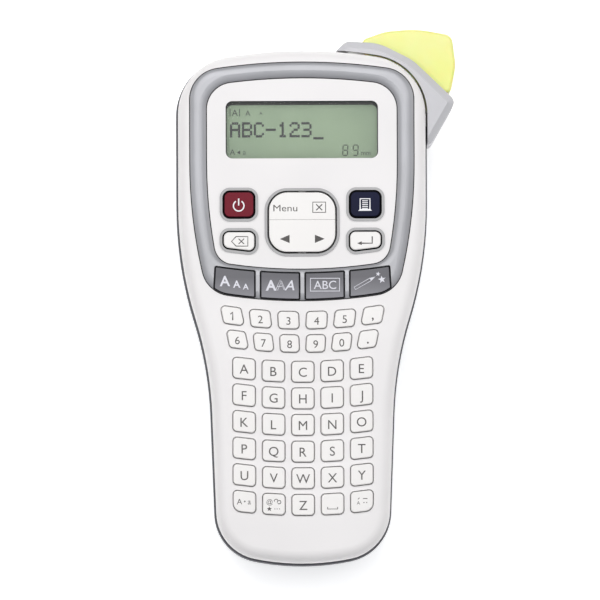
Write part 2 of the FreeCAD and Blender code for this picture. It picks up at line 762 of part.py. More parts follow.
ringedFlange = size.keyFlange + size.ringedGap - size.keyGap
for name, wire in ringedKeys.items():
    keep(solid(keySolid(wire, ringedFlange)), name)
for name, wire in softKeys.items():
    keep(solid(keySolid(wire, size.keyFlange)), name)
for name, wires in rows.items():
    keep(solid(Part.makeCompound([keySolid(wire, size.keyFlange) for wire in wires])), name)


def rocker(upper):
    """Half of the navigation pad, held by two short tabs on its tilting axis."""
    crease = size.padRow + size.padCrease
    reach = size.padWidth
    low = crease + size.padSplit / 2 if upper else crease - size.padSplit / 2 - reach
    half = prism(roundedRectangle(0, low + reach / 2, reach * 2, reach, size.padSplit), 0, size.keyTop + 1)
    cap = capSolid(padWire).common(half)
    edge = size.padRow + size.padDepth / 2 if upper else size.padRow - size.padDepth / 2
    tab = roundedRectangle(0, edge, size.rockerTab, 2 * ringedFlange, ringedFlange / 3)
    return cap.fuse(prism(tab, size.flangeBase, size.flangeTop)).removeSplitter()


keep(solid(rocker(True)), "menu_rocker")
keep(solid(rocker(False)), "arrow_rocker")


# -------------------------------------------------------------------- cutter

pivot = Vector(size.pivotOut, size.pivotUp, 0)


def fromPivot(radius, degrees):
    point = polar(pivot, radius, math.radians(degrees))
    return (point.x, point.y)


def disc(centre, radius, low, high):
    base = Vector(centre.x, centre.y, low)
    return Part.makeCylinder(radius, high - low, base)


def sector(inner, outer, start, end, low, high):
    """A slice of a ring about the pivot between two angles in degrees."""
    first = math.radians(start)
    last = math.radians(end)
    edges = [
        arcEdge(pivot, outer, first, last),
        Part.makeLine(polar(pivot, outer, last), polar(pivot, inner, last)),
        arcEdge(pivot, inner, last, first),
        Part.makeLine(polar(pivot, inner, first), polar(pivot, outer, first)),
    ]
    return prism(closedWire(edges), low, high)


# The lever's plan: a bowed thumb edge from the hub round to the tape outlet.
leverEnd = -23.4
leverPoints = [
    (pivot.x - 1.6, pivot.y - size.leverHub - 1.4),
    fromPivot(size.leverReach, leverEnd),
    fromPivot(size.leverReach - 0.2, -2.0),
    (pivot.x + 28.6, pivot.y + size.leverThumb - 2.6),
    (pivot.x + 14.6, pivot.y + size.leverThumb),
    (pivot.x + 2.0, pivot.y + size.leverThumb - 1.0),
    (pivot.x - 8.0, pivot.y + 9.4),
]
leverWire = roundedPolygon(leverPoints, [4.0, 2.0, 20.0, 3.6, 40.0, 20.0, 2.4])
leverOutside = prism(leverWire, size.leverBase, size.leverTop)
leverOutside = roundedEdges(leverOutside, 1.2, size.leverTop)


def leverHollow(low, high):
    """The space inside the lever's wall, open towards the casing and round the hub."""
    inside = prism(grown(leverWire, -size.leverSkin), low, high)
    reach = size.leverReach - size.leverSkin - 0.6
    mouth = roundedPolygon([(3.0, -9.0), (reach, -9.0), (reach, 2.5), (3.0, 2.5)], 0.3)
    mouth.rotate(Vector(0, 0, 0), Vector(0, 0, 1), leverEnd)
    mouth.translate(pivot)
    open = inside.fuse([prism(mouth, low, high), disc(pivot, 2.4 * size.leverHub, low, high)])
    return open.cut(disc(pivot, size.leverHub, low, high))


lever = leverOutside.cut(leverHollow(size.leverBase, size.leverRib))
lever = lever.cut(leverHollow(size.ribTop, size.leverCeiling))
lever = lever.fuse(disc(pivot, size.leverHub, size.leverBase, size.leverTop))
pinHole = size.pinRadius + size.axleFit
lever = lever.cut(disc(pivot, pinHole, size.leverBase, size.leverTop))
keep(solid(lever.removeSplitter()), "cutter_lever")

# The blade is bent to a circle about the pivot, so it sweeps along itself.
bladeStart = leverEnd - 0.6
bladeBack = bladeStart + 12.0
bladeEdge = size.bladeReach + size.bladeThick
bladeLow = size.leverBase + 0.8
blade = sector(size.bladeReach, bladeEdge, bladeStart, bladeBack, bladeLow, size.leverRib)
keep(solid(blade), "moving_blade")

sweepRadius = size.leverReach + size.earGap
sweepLow = size.leverBase - size.earGap
sweepHigh = size.leverTop + size.earGap
sweep = sector(0.1, sweepRadius, leverEnd - size.leverSwing - 8.2, 160.0, sweepLow, sweepHigh)
heelReach = 0.6 * size.leverReach
heelStart = leverEnd - size.leverSwing - 36.0
sweep = sweep.fuse(sector(0.1, heelReach, heelStart, leverEnd - size.leverSwing, sweepLow, sweepHigh))
sweep = sweep.fuse(disc(pivot, size.leverHub + size.leverSkin, sweepLow, sweepHigh))

earPoints = [
    (pivot.x - 20.2, size.topEnd - 3.0),
    (pivot.x - 13.8, size.topEnd + 3.2),
    (pivot.x - 0.6, size.topEnd + 2.4),
    (pivot.x + 12.9, pivot.y + 1.2),
    (pivot.x + 30.0, pivot.y - 15.2),
    (pivot.x + 19.8, pivot.y - 33.0),
    (pivot.x + 12.4, pivot.y - 31.2),
]
earWire = roundedPolygon(earPoints, [1.0, 4.0, 20.0, 20.0, 3.0, 3.0, 1.0])
earForm = prism(earWire, size.earBase, size.earTop)
earBevel = []
for edge in earForm.Edges:
    box = edge.BoundBox
    atTop = abs(box.ZMin - size.earTop) < 1e-4
    outlet = box.Center.x > pivot.x + 20.4 and box.Center.y < pivot.y - 16.2 and edge.Length > 4.0
    if atTop and outlet:
        earBevel.append(edge)
earForm = earForm.makeChamfer(size.earChamfer, earBevel)
earForm = earForm.cut(prism(bodyOutline(0.05), 0, size.faceHeight))
earForm = earForm.cut(sweep)
slotCorner = Vector(0, -size.slotWidth / 2, size.tapeBase - 0.5)
slot = Part.makeBox(size.leverReach, size.slotWidth, size.tapeWidth + 1.0, slotCorner)
slotTurn = -29.8
slot.rotate(Vector(0, 0, 0), Vector(0, 0, 1), slotTurn)
slot.translate(Vector(*fromPivot(size.bladeReach, leverEnd - size.leverSwing + 4.0), 0))
earForm = earForm.cut([slot, disc(pivot, pinHole, 0, size.earTop)])
keep(solid(earForm), "cutter_cover")


# -------------------------------------------------------------------- casing

halfHead = size.headWidth / 2
screwPlaces = [
    (-size.topScrewOut, size.topEnd - size.topScrewInset),
    (-halfHead + size.sideScrewInset, size.sideScrewRow),
    (halfHead - size.sideScrewInset, size.sideScrewRow),
    (-size.heelScrewOut, size.heelScrewInset - size.bottomEnd),
    (size.heelScrewOut, size.heelScrewInset - size.bottomEnd),
]
studPlaces = [
    (-halfHead + size.studInset, size.studLow),
    (halfHead - size.studInset, size.studLow),
    (-halfHead + size.studInset, size.studHighLeft),
    (halfHead - size.studInset, size.studHighRight),
]
# The board's posts stand beside the keys, clear of every flange.
postSide = halfHead - size.boardPostInset
postBeside = 2 * size.letterPitch + size.letterWidth / 2 + 4.4
postBetween = 4.4 - size.letterFirstRow
postLow = size.heelScrewInset + 3.5 - size.bottomEnd
boardPosts = [
    (-postSide, size.boardPostRow),
    (postSide, size.boardPostRow),
    (0.0, size.padRow + size.padDepth / 2 + 7.15),
    (-postBeside, postBetween),
    (postBeside, postBetween),
    (5.8 - size.heelScrewOut, postLow),
    (size.heelScrewOut - 5.8, postLow),
]


def posts(places, radius, low, high):
    return [disc(Vector(x, y, 0), radius, low, high) for x, y in places]


front = frontForm()
frontInside = frontCavity()
ribs = posts(screwPlaces, size.postRadius, size.splitHeight, size.ceiling)
ribs.append(disc(pivot, size.postRadius, sweepHigh, size.ceiling))
ribs += posts(boardPosts, size.boardPostRadius, size.boardTop, size.ceiling)
front = front.cut(frontInside).fuse([rib.common(front) for rib in ribs])
front = front.cut(sweep)
front = front.cut(prism(bezelOuter(size.bezelGap), size.bezelBase, size.faceHeight))
plateau = prism(bezelInner(-size.bezelGap), size.bezelBase, size.faceHeight)
front = front.fuse(plateau)
display = roundedRectangle(0, size.windowMiddle, size.windowWidth, size.windowHeight, size.windowCorner)
openings = [prism(display, size.ceiling - 1, size.faceHeight + 1)]
for wire in list(softKeys.values()) + rowWires:
    openings.append(prism(grown(wire, size.keyGap), size.ceiling - 1, size.faceHeight + 1))
for wire in list(ringedKeys.values()) + [padWire]:
    openings.append(prism(grown(wire, size.ringedGap), size.ceiling - 1, size.faceHeight + 1))
screwHole = size.screwRadius + size.screwFit
screwHoleTop = size.splitHeight + size.screwHoleDepth
openings += posts(screwPlaces, screwHole, size.splitHeight, screwHoleTop)
openings += posts(boardPosts, size.studHole, size.boardTop, size.boardTop + 4.4)
openings += posts([(pivot.x, pivot.y)], pinHole, sweepHigh, sweepHigh + 5.0)
front = front.cut(openings)
keep(solid(front.removeSplitter()), "front_housing")

# The ring's top is crowned: both its slopes rise over the same rounded profile.
crownFoot = size.faceHeight + size.bezelFoot
crownRise = size.bezelHeight - size.bezelFoot
profile = [(0.0, 0.0), (0.28, 0.55), (0.65, 0.88), (1.0, 1.0)]
outerCrown = []
innerCrown = []
for reach, rise in profile:
    outerWire = bezelOuter(-reach * size.crownReach)
    outerWire.translate(Vector(0, 0, crownFoot + rise * crownRise))
    outerCrown.append(outerWire)
    innerWire = bezelInner(reach * size.crownReach)
    innerWire.translate(Vector(0, 0, crownFoot + rise * crownRise))
    innerCrown.append(innerWire)
ring = prism(bezelOuter(), size.bezelBase, crownFoot).fuse(Part.makeLoft(outerCrown, True))
ring = ring.cut(prism(bezelInner(), size.bezelBase, crownFoot).fuse(Part.makeLoft(innerCrown, True)))
softHoles = [prism(grown(wire, size.keyGap), 0, size.keyTop + 1) for wire in softKeys.values()]
keep(solid(ring.cut(softHoles)), "bezel_ring")

surrounds = []
surroundTop = size.faceHeight + size.surroundHeight
for wire in list(ringedKeys.values()) + [padWire]:
    outside = prism(grown(wire, size.ringedGap + size.surroundRim), size.faceHeight, surroundTop)
    surrounds.append(outside.cut(prism(grown(wire, size.ringedGap), 0, size.keyTop + 1)))
keep(solid(Part.makeCompound(surrounds)), "key_surrounds")

rear = rearForm(0.0)
rearInside = rearForm(size.wall)
rearPosts = posts(screwPlaces, size.postRadius, 0, size.splitHeight)
rearPosts += posts(studPlaces, size.studRadius, 0, size.chassisHeight)
rearPosts.append(disc(pivot, size.postRadius, 0, sweepLow))
tray = Part.makeBox(
    2 * (size.trayHalf + size.trayWall),
    size.trayLength + 2 * size.trayWall,
    size.trayFloor + size.trayWall,
    Vector(-size.trayHalf - size.trayWall, -size.trayHead - size.trayLength - size.trayWall, 0),
)
trayRoom = Part.makeBox(
    2 * size.trayHalf,
    size.trayLength,
    size.trayFloor,
    Vector(-size.trayHalf, -size.trayHead - size.trayLength, 0),
)
coverPlate = prism(bodyOutline(-size.coverInset), -1, size.archHeight + size.wall + 1)
backWall = rearForm(0.0).cut(rearInside).cut(coverPlate)
trayRoom = trayRoom.cut(backWall)
rear = rear.cut(rearInside).fuse([post.common(rear) for post in rearPosts] + [tray.common(rear)])
rear = rear.cut(trayRoom)
rear = rear.cut(sweep)
rear = rear.cut(coverPlate.cut(sideSlab(size.wall + size.coverGap, size.faceHeight)))
seats = posts(screwPlaces, size.screwHead + size.screwFit, -1, size.seatHeight)
bores = posts(screwPlaces, screwHole, -1, size.splitHeight)
bores += posts(studPlaces, size.studHole, size.chassisHeight - 6.0, size.chassisHeight)
bores += posts([(pivot.x, pivot.y)], pinHole, 1.6, sweepLow)
inletStart = Vector(-halfHead - 5, size.jackRow, size.jackHeight)
inlet = Part.makeCylinder(size.jackBore + 0.6, 12, inletStart, Vector(1, 0, 0))
rear = rear.cut(seats + bores + [inlet])
keep(solid(rear), "rear_housing")

coverTop = size.archHeight + size.wall + 1
coverForm = rearForm(0.0).cut(sideSlab(size.wall, size.faceHeight))
coverForm = coverForm.common(prism(bodyOutline(-size.coverInset - size.coverGap), -1, coverTop))
keep(solid(coverForm), "back_cover")


# ------------------------------------------------- cutter pin, spring, blade

pin = newBody("Pin")
pinSketch = newSketch(pin, "wall")
addCircle(pinSketch, "pivotOut", "pivotUp", "pinRadius")
pad(pin, pinSketch, "leverTop + earGap + 4.5 - wall")
keep(pin, "cutter_pivot_pin")

fixedReach = bladeEdge + 0.3
fixedStart = leverEnd - size.leverSwing - 8.0
fixedEnd = leverEnd - size.leverSwing + 1.5
knife = sector(fixedReach, fixedReach + size.bladeThick, fixedStart, fixedEnd, sweepLow, size.leverRib)
keep(solid(knife), "fixed_blade")

coilTurns = 6
coilPitch = round((size.leverCeiling - size.ribTop - size.springSlack) / coilTurns, 2)
coilRadius = size.leverHub + 0.75
springWire = 0.4
coil = Part.makeHelix(coilPitch, coilPitch * coilTurns, coilRadius)
section = Part.Wire(Part.makeCircle(springWire, Vector(coilRadius, 0, 0), Vector(0, 1, 0)))
spring = Part.Wire(coil).makePipeShell([section], True, True)
spring.translate(Vector(pivot.x, pivot.y, size.ribTop + springWire + 0.1))
keep(solid(spring), "cutter_spring")


# ------------------------------------------------------- display, board, mat

lens = newBody("Lens")
lensSketch = newSketch(lens, "lensBase")
addRectangle(lensSketch, "0", "windowMiddle", "windowWidth + 2 * lensRim", "windowHeight + 2 * lensRim")
pad(lens, lensSketch, "lensThick")
keep(lens, "lcd_window")

panel = newBody("Panel")
panelSketch = newSketch(panel, "boardTop")
addRectangle(panelSketch, "0", "windowMiddle", "windowWidth + 3", "windowHeight + 3")
pad(panel, panelSketch, "lensBase - boardTop")
keep(panel, "lcd_module")

boardForm = prism(bodyOutline(-size.boardInset), size.boardBase, size.boardTop)
clear = posts(screwPlaces, size.postRadius + 0.4, 0, size.faceHeight)
clear.append(disc(pivot, size.postRadius + 0.4, 0, size.faceHeight))
clear += posts(boardPosts, 1.3, 0, size.faceHeight)
keep(solid(boardForm.cut(clear)), "main_board")

matHalf = halfHead - size.boardPostInset
matHead = size.commandRow + size.commandDepth / 2 + 2.9
gripHalf = 2 * size.letterPitch + size.letterWidth / 2 + 1.5
matHeel = size.letterFirstRow + (letterRows - 1) * size.letterRowPitch + size.letterDepth / 2 + 2.2
matForm = Part.makeBox(2 * matHalf, matHead + 0.5, size.matThick, Vector(-matHalf, -0.5, size.boardTop))
grip = Part.makeBox(2 * gripHalf, matHeel, size.matThick, Vector(-gripHalf, -matHeel, size.boardTop))
matForm = matForm.fuse(grip).removeSplitter()
matForm = matForm.cut(posts(screwPlaces + boardPosts, size.postRadius + 0.6, 0, size.faceHeight))
domes = []
centres = [wire.CenterOfMass for wire in list(singleKeys.values()) + rowWires]
for y in (size.padRow + 0.285 * size.padDepth, size.padRow - 0.235 * size.padDepth):
    centres += [Vector(x, y, 0) for x in (-size.padWidth / 3, size.padWidth / 3)]
domeHeight = size.domeTop - size.matTop
for centre in centres:
    foot = Vector(centre.x, centre.y, size.matTop)
    domes.append(Part.makeCone(size.domeRadius, size.domeRadius - 0.6, domeHeight, foot))
keep(solid(matForm.fuse(domes).removeSplitter()), "keypad_mat")

jackMouth = "wall - headWidth / 2"
jackMiddle = f"{jackMouth} + jackBody / 2"
jackShell = block(jackMiddle, "jackRow", "jackHeight - 5.5", "jackBody", "3 * jackBore", "11")
outward = Vector(1, 0, 0)
jackHole = lyingRod(f"{jackMouth} - 1", "jackRow", "jackHeight", "jackBore", "jackDepth + 1", outward)
jackThroat = lyingRod(jackMouth, "jackRow", "jackHeight", "jackBore - 0.5", "jackBody - 1.5", outward)
pinStart = f"{jackMouth} + jackDepth + 0.2"
jackPin = lyingRod(pinStart, "jackRow", "jackHeight", "0.9", "jackBody - jackDepth - 0.7", outward)
keep(join([cut(jackShell, [jackHole, jackThroat]), jackPin]), "power_jack")


# -------------------------------------------------------------------- chassis

plate = newBody("Plate")
plateSketch = newSketch(plate, "chassisHeight")
plateMiddle = "(driveRow + chassisBeyond + chassisLow) / 2"
plateWidth = "headWidth - 2 * wall - 2 * chassisGap"
addRectangle(plateSketch, "0", plateMiddle, plateWidth, "driveRow + chassisBeyond - chassisLow")
pad(plate, plateSketch, "chassisThick")
shaftHole = newSketch(plate, "chassisHeight")
addCircle(shaftHole, "platenAxis", "driveRow", "axleRadius + 1")
pocket(plate, shaftHole, "chassisThick + 1")
takeupHole = newSketch(plate, "chassisHeight")
addCircle(takeupHole, "takeupAxis", "takeupRow", "hubRadius + 0.5")
pocket(plate, takeupHole, "chassisThick + 1")
plateEdge = prism(bodyOutline(-size.wall - size.chassisGap), 0, size.faceHeight)
plateClear = prism(bodyOutline(5), 0, size.faceHeight).cut(plateEdge)
plateCut = solid(Part.makeCompound([plateClear.fuse([sweep] + clear[: len(screwPlaces)])]), "Clearance")
studHoles = []
for x, y in studPlaces:
    studHoles.append(rod(str(x), str(y), "chassisHeight - 1", "studHole", "chassisThick + 2"))
motorPosts = []
for step in ("0.8 * motorRadius", "-0.8 * motorRadius"):
    motorPostHeight = "motorBase - chassisTop + 1"
    motorPosts.append(rod("pinionAxis", f"driveRow + {step}", "chassisTop - 1", "1.8", motorPostHeight))
chassis = cut(join([plate] + motorPosts), [plateCut] + studHoles)
keep(chassis, "chassis")

axles = []
for x in ("idlerOneAxis", "idlerTwoAxis"):
    axles.append(rod(x, "driveRow", "chassisTop", "axleRadius", "gearThick + 1.6"))
keep(gather(axles), "gear_axles")


# ------------------------------------------------------------------ gear train


def gear(label, teeth, x, y, phase, bore):
    """A spur gear: a root disc, one tooth patterned round it, and a bore."""
    body = newBody("Gear")
    root = newSketch(body)
    addCircle(root, "0", "0", f"{teeth} * toothModule / 2 - 1.2 * toothModule")
    pad(body, root, "gearThick")
    pitch = teeth * size.toothModule / 2
    foot = pitch - 1.5 * size.toothModule
    tip = pitch + 0.85 * size.toothModule
    flank = [(foot, -0.85), (tip, -0.3), (tip, 0.3), (foot, 0.85)]
    toothSketch = newSketch(body)
    for index in range(4):
        startX, startY = flank[index]
        endX, endY = flank[(index + 1) % 4]
        scale = size.toothModule
        line = Part.LineSegment(Vector(startX, startY * scale, 0), Vector(endX, endY * scale, 0))
        toothSketch.addGeometry(line)
    tooth = pad(body, toothSketch, "gearThick")
    doc.recompute()
    pattern = body.newObject("PartDesign::PolarPattern", "Teeth")
    pattern.Originals = [tooth]
    pattern.Axis = (originPlane(body, "Z_Axis"), [""])
    pattern.Angle = 360
    pattern.Occurrences = teeth
    body.Tip = pattern
    doc.recompute()
    hole = newSketch(body)
    addCircle(hole, "0", "0", bore)
    pocket(body, hole, "gearThick")
    body.Placement = Placement(Vector(0, 0, 0), Rotation(Vector(0, 0, 1), phase))
    placeAt(body, x, y, "gearBase")
    return body


def meshPhase(teeth, otherTeeth, otherPhase, angle):
    """Turns a gear so that its gap meets the other gear's tooth; angle points from the other to it."""
    otherPitch = 360.0 / otherTeeth
    pitch = 360.0 / teeth
    share = ((angle - otherPhase) / otherPitch) % 1.0
    return (angle + 180.0 - pitch * (0.5 - share)) % pitch


axleBore = "axleRadius + axleFit"
phaseOne = meshPhase(30, 10, 0.0, 0.0)
phaseTwo = meshPhase(24, 30, phaseOne, 0.0)
phasePlaten = meshPhase(16, 24, phaseTwo, 0.0)
takeupTurn = math.degrees(math.atan2(size.takeupRow - size.driveRow, -size.takeupBack))
phaseTakeup = meshPhase(12, 24, phaseTwo, takeupTurn)
pinion = gear("motor_pinion", 10, "pinionAxis", "driveRow", 0.0, "axleRadius / 2")
shaft = rod("pinionAxis", "driveRow", "gearBase", "axleRadius", "motorBase + 4 - gearBase")
keep(join([pinion, shaft]), "motor_pinion")
keep(gear("idler_gear_1", 30, "idlerOneAxis", "driveRow", phaseOne, axleBore), "idler_gear_1")
keep(gear("idler_gear_2", 24, "idlerTwoAxis", "driveRow", phaseTwo, axleBore), "idler_gear_2")
keep(gear("platen_gear", 16, "platenAxis", "driveRow", phasePlaten, axleBore), "platen_gear")
takeup = gear("takeup_gear", 12, "takeupAxis", "takeupRow", phaseTakeup, "axleRadius / 2")
spindle = rod("takeupAxis", "takeupRow", "tapeBase + 1", "hubRadius - 0.2", "gearTop - tapeBase - 1")
keep(join([takeup, spindle]), "takeup_gear")

motorCan = rod("pinionAxis", "driveRow", "motorBase", "motorRadius", "motorLength")
motorHole = rod("pinionAxis", "driveRow", "motorBase - 1", "axleRadius + axleFit", "5.5")
keep(cut(motorCan, [motorHole]), "drive_motor")

rubber = rod("platenAxis", "driveRow", "tapeBase - 0.8", "platenRadius", "tapeWidth + 1.6")
shaft = rod("platenAxis", "driveRow", "cassetteBase + 0.2", "axleRadius", "gearTop - cassetteBase - 0.2")
keep(join([rubber, shaft]), "platen_roller")

holderBase = "cassetteBase + 0.2"
holderX = "platenAxis + 1.4"
holderTop = "chassisHeight - holderPlate"
holderHeight = f"chassisHeight - ({holderBase})"
lowPlate = block(holderX, "driveRow", holderBase, "holderWidth", "holderDepth", "holderPlate")
highPlate = block(holderX, "driveRow", holderTop, "holderWidth", "holderDepth", "holderPlate")
backX = f"{holderX} + (holderWidth - holderPlate) / 2"
backPlate = block(backX, "driveRow", holderBase, "holderPlate", "holderDepth", holderHeight)
bearing = rod("platenAxis", "driveRow", "0", "axleRadius + axleFit", "chassisTop")
keep(cut(join([lowPlate, highPlate, backPlate]), [bearing]), "roller_holder")

headFace = "platenAxis - platenRadius - 0.2"
keep(block(f"{headFace} - 0.5", "driveRow", "tapeBase - 0.6", "1", "8", "tapeWidth + 1.2"), "print_head")
sinkLow = "(cassetteBase + 1)"
sinkHeight = f"chassisHeight - {sinkLow}"
keep(block(f"{headFace} - 1.9", "driveRow", sinkLow, "1.8", "11", sinkHeight), "head_holder")


# -------------------------------------------------------------------- cassette

caseX = "(cassetteLeft + cassetteRight) / 2"
caseY = "(cassetteLowEdge + cassetteTopEdge) / 2"
caseOut = block(caseX, caseY, "cassetteBase", "cassetteWidth", "cassetteLength", "cassetteThick")
caseIn = block(
    caseX,
    caseY,
    "cassetteBase + cassetteWall",
    "cassetteWidth - 2 * cassetteWall",
    "cassetteLength - 2 * cassetteWall",
    "cassetteThick - 2 * cassetteWall",
)
tapeMouth = block("cassetteRight", "driveRow", "tapeBase - 0.5", "6", "13", "tapeWidth + 1")
spindleHole = rod("takeupAxis", "takeupRow", "cassetteTop - 3", "hubRadius + 0.4", "6")
hubs = []
for x, y, pinned in [
    ("rollX", "rollY", True),
    ("supplyX", "supplyY", True),
    ("takeupAxis", "takeupRow", False),
]:
    hubs.append(rod(x, y, "cassetteBase + 0.5", "2 * hubRadius", "tapeBase - cassetteBase - 0.8"))
    if pinned:
        hubs.append(rod(x, y, "cassetteBase + 0.5", "hubRadius", "cassetteThick - 1"))
keep(join([cut(caseOut, [caseIn, tapeMouth, spindleHole])] + hubs), "cassette_case")
for label, x, y, radius in [
    ("tape_roll", "rollX", "rollY", "tapeRollRadius"),
    ("ribbon_supply", "supplyX", "supplyY", "spoolRadius"),
    ("ribbon_takeup", "takeupAxis", "takeupRow", "spoolRadius - 1"),
]:
    spool = newBody("Spool")
    ringSketch = newSketch(spool, "tapeBase")
    addCircle(ringSketch, x, y, radius)
    addCircle(ringSketch, x, y, "hubRadius + 0.1")
    pad(spool, ringSketch, "tapeWidth")
    keep(spool, label)


# ------------------------------------------------------------------- batteries

batteries = []
springs = []
contacts = []
contactBase = "cellAxis - contactSide / 2"
along = Vector(0, -1, 0)
# A folded strip: two legs on the contact plate and a crown against the cell.
crown = size.leafReach / 5
foot = size.contactSide / 2 - 0.6
leafPoints = [
    (-foot, 0),
    (-crown, size.leafReach),
    (crown, size.leafReach),
    (foot, 0),
    (foot - 1.2 * size.leafThick, 0),
    (crown - size.leafThick, size.leafReach - size.leafThick),
    (size.leafThick - crown, size.leafReach - size.leafThick),
    (1.2 * size.leafThick - foot, 0),
]
for lane in (-1, 0, 1):
    x = f"{lane} * cellPitch"
    for rank in (0, 1):
        start = f"-trayHead - 0.9 - {rank} * cellLength"
        nub = lyingRod(x, start, "cellAxis", "1.9", "1.2", along)
        can = lyingRod(x, f"{start} - 0.9", "cellAxis", "cellRadius", "cellLength - 0.95", along)
        batteries.append(join([nub, can]))
    high = "-trayHead - contactThick / 2"
    contacts.append(block(x, high, contactBase, "contactSide", "contactThick", "contactSide"))
    leaf = prism(polygon(leafPoints), size.cellAxis - size.leafWidth / 2, size.cellAxis + size.leafWidth / 2)
    leaf.translate(Vector(lane * size.cellPitch, size.contactThick - size.trayHead - size.trayLength, 0))
    springs.append(leaf)
    low = "-trayHead - trayLength + contactThick / 2"
    contacts.append(block(x, low, contactBase, "contactSide", "contactThick", "contactSide"))
keep(gather(batteries), "batteries")
keep(solid(Part.makeCompound(springs)), "battery_springs")
keep(gather(contacts), "battery_contacts")


# ------------------------------------------------------------------- fasteners


def screws(places, seat, direction, headRadius, headHeight, shankRadius, shankLength):
    """Pan-head screws: the head below or above its seat, the shank on the other side."""
    made = []
    for x, y in places:
        headBase = f"{seat} - {headHeight}" if direction > 0 else seat
        shankBase = f"{seat} - 0.2" if direction > 0 else f"{seat} - {shankLength}"
        head = rod(str(x), str(y), headBase, headRadius, headHeight)
        shank = rod(str(x), str(y), shankBase, shankRadius, f"{shankLength} + 0.2")
        made.append(join([head, shank]))
    return gather(made)


keep(screws(screwPlaces, "seatHeight", 1, "screwHead", "2", "screwRadius", "26"), "housing_screws")
smallScrew = ("smallHead", "smallHeadHeight", "smallShank")
keep(screws(boardPosts, "boardBase", 1, *smallScrew, "boardThick + 4"), "board_screws")
keep(screws(studPlaces, "chassisTop", -1, *smallScrew, "5.6"), "chassis_screws")


# ---------------------------------------------------------------------- output

doc.recompute()
for thing in doc.Objects:
    if "Invalid" in thing.State or "Error" in thing.State:
        raise RuntimeError(f"{thing.Name} ({thing.Label}) did not recompute: {thing.State}")
for piece in pieces:
    if piece.Shape.isNull() or not piece.Shape.isValid():
        raise RuntimeError(f"{piece.Label} has no valid shape")
os.makedirs("parts", exist_ok=True)
for piece in pieces:
    piece.Shape.exportStep(f"parts/{piece.Label}.step")
print(len(pieces), "sub-parts written")
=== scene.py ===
import math
import bpy
import bmesh
from mathutils import Matrix, Vector


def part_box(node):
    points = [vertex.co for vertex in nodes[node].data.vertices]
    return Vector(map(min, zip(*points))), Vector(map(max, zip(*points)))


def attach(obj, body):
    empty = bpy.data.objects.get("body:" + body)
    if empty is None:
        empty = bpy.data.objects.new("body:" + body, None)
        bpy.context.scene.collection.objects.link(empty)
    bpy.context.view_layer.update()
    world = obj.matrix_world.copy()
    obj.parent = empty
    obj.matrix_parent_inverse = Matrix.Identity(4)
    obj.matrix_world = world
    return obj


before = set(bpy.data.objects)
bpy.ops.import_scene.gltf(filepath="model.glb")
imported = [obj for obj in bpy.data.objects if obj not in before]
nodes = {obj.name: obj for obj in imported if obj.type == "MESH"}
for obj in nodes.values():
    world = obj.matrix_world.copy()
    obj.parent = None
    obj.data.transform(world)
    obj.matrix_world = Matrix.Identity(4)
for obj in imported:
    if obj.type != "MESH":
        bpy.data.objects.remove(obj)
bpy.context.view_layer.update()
mm = 0.001
print("frame loaded:", len(nodes), "nodes")

# camera: a very long lens almost straight above the keypad, a little towards the heel and the left
view = {"lens": 900.0, "distance": 5982 * mm, "tilt": 1.9, "aside": 0.4, "roll": 0.2,
        "aim": (-0.98, 2.36, 56.0), "farClip": 20.0}

aim = Vector(view["aim"]) * mm
tilt = math.radians(view["tilt"])
aside = math.radians(view["aside"])
roll = math.radians(view["roll"])
back = Vector((-math.sin(aside), -math.sin(tilt), math.cos(tilt) * math.cos(aside))).normalized()
level = (Vector((1, 0, 0)) - back * back.x).normalized()
across = level * math.cos(roll) - back.cross(level) * math.sin(roll)
cameraData = bpy.data.cameras.new("camera")
cameraData.lens = view["lens"]
cameraData.clip_end = view["farClip"]
camera = bpy.data.objects.new("camera", cameraData)
bpy.context.scene.collection.objects.link(camera)
camera.location = aim + back * view["distance"]
camera.rotation_mode = "QUATERNION"
camera.rotation_quaternion = Matrix((across, back.cross(across), back)).transposed().to_quaternion()
bpy.context.scene.camera = camera
print("camera placed")


# materials

def linear(hexColour):
    values = [int(hexColour[i:i + 2], 16) / 255 for i in (1, 3, 5)]
    return [v / 12.92 if v <= 0.04045 else ((v + 0.055) / 1.055) ** 2.4 for v in values] + [1.0]


# settings are attributes or input values by name; links go from an input's name to an output socket
def addNode(tree, kind, settings=None, links=None):
    node = tree.nodes.new(kind)
    for key, value in (settings or {}).items():
        if key in node.inputs:
            node.inputs[key].default_value = value
        else:
            setattr(node, key, value)
    for key, socket in (links or {}).items():
        tree.links.new(socket, node.inputs[key])
    return node


# a Principled material with its constants set on the shader's own sockets
def newMaterial(name, shader):
    material = bpy.data.materials.new(name)
    material.use_nodes = True
    tree = material.node_tree
    bsdf = tree.nodes["Principled BSDF"]
    for key, value in shader.items():
        bsdf.inputs[key].default_value = linear(value) if isinstance(value, str) else value
    return material, tree, bsdf


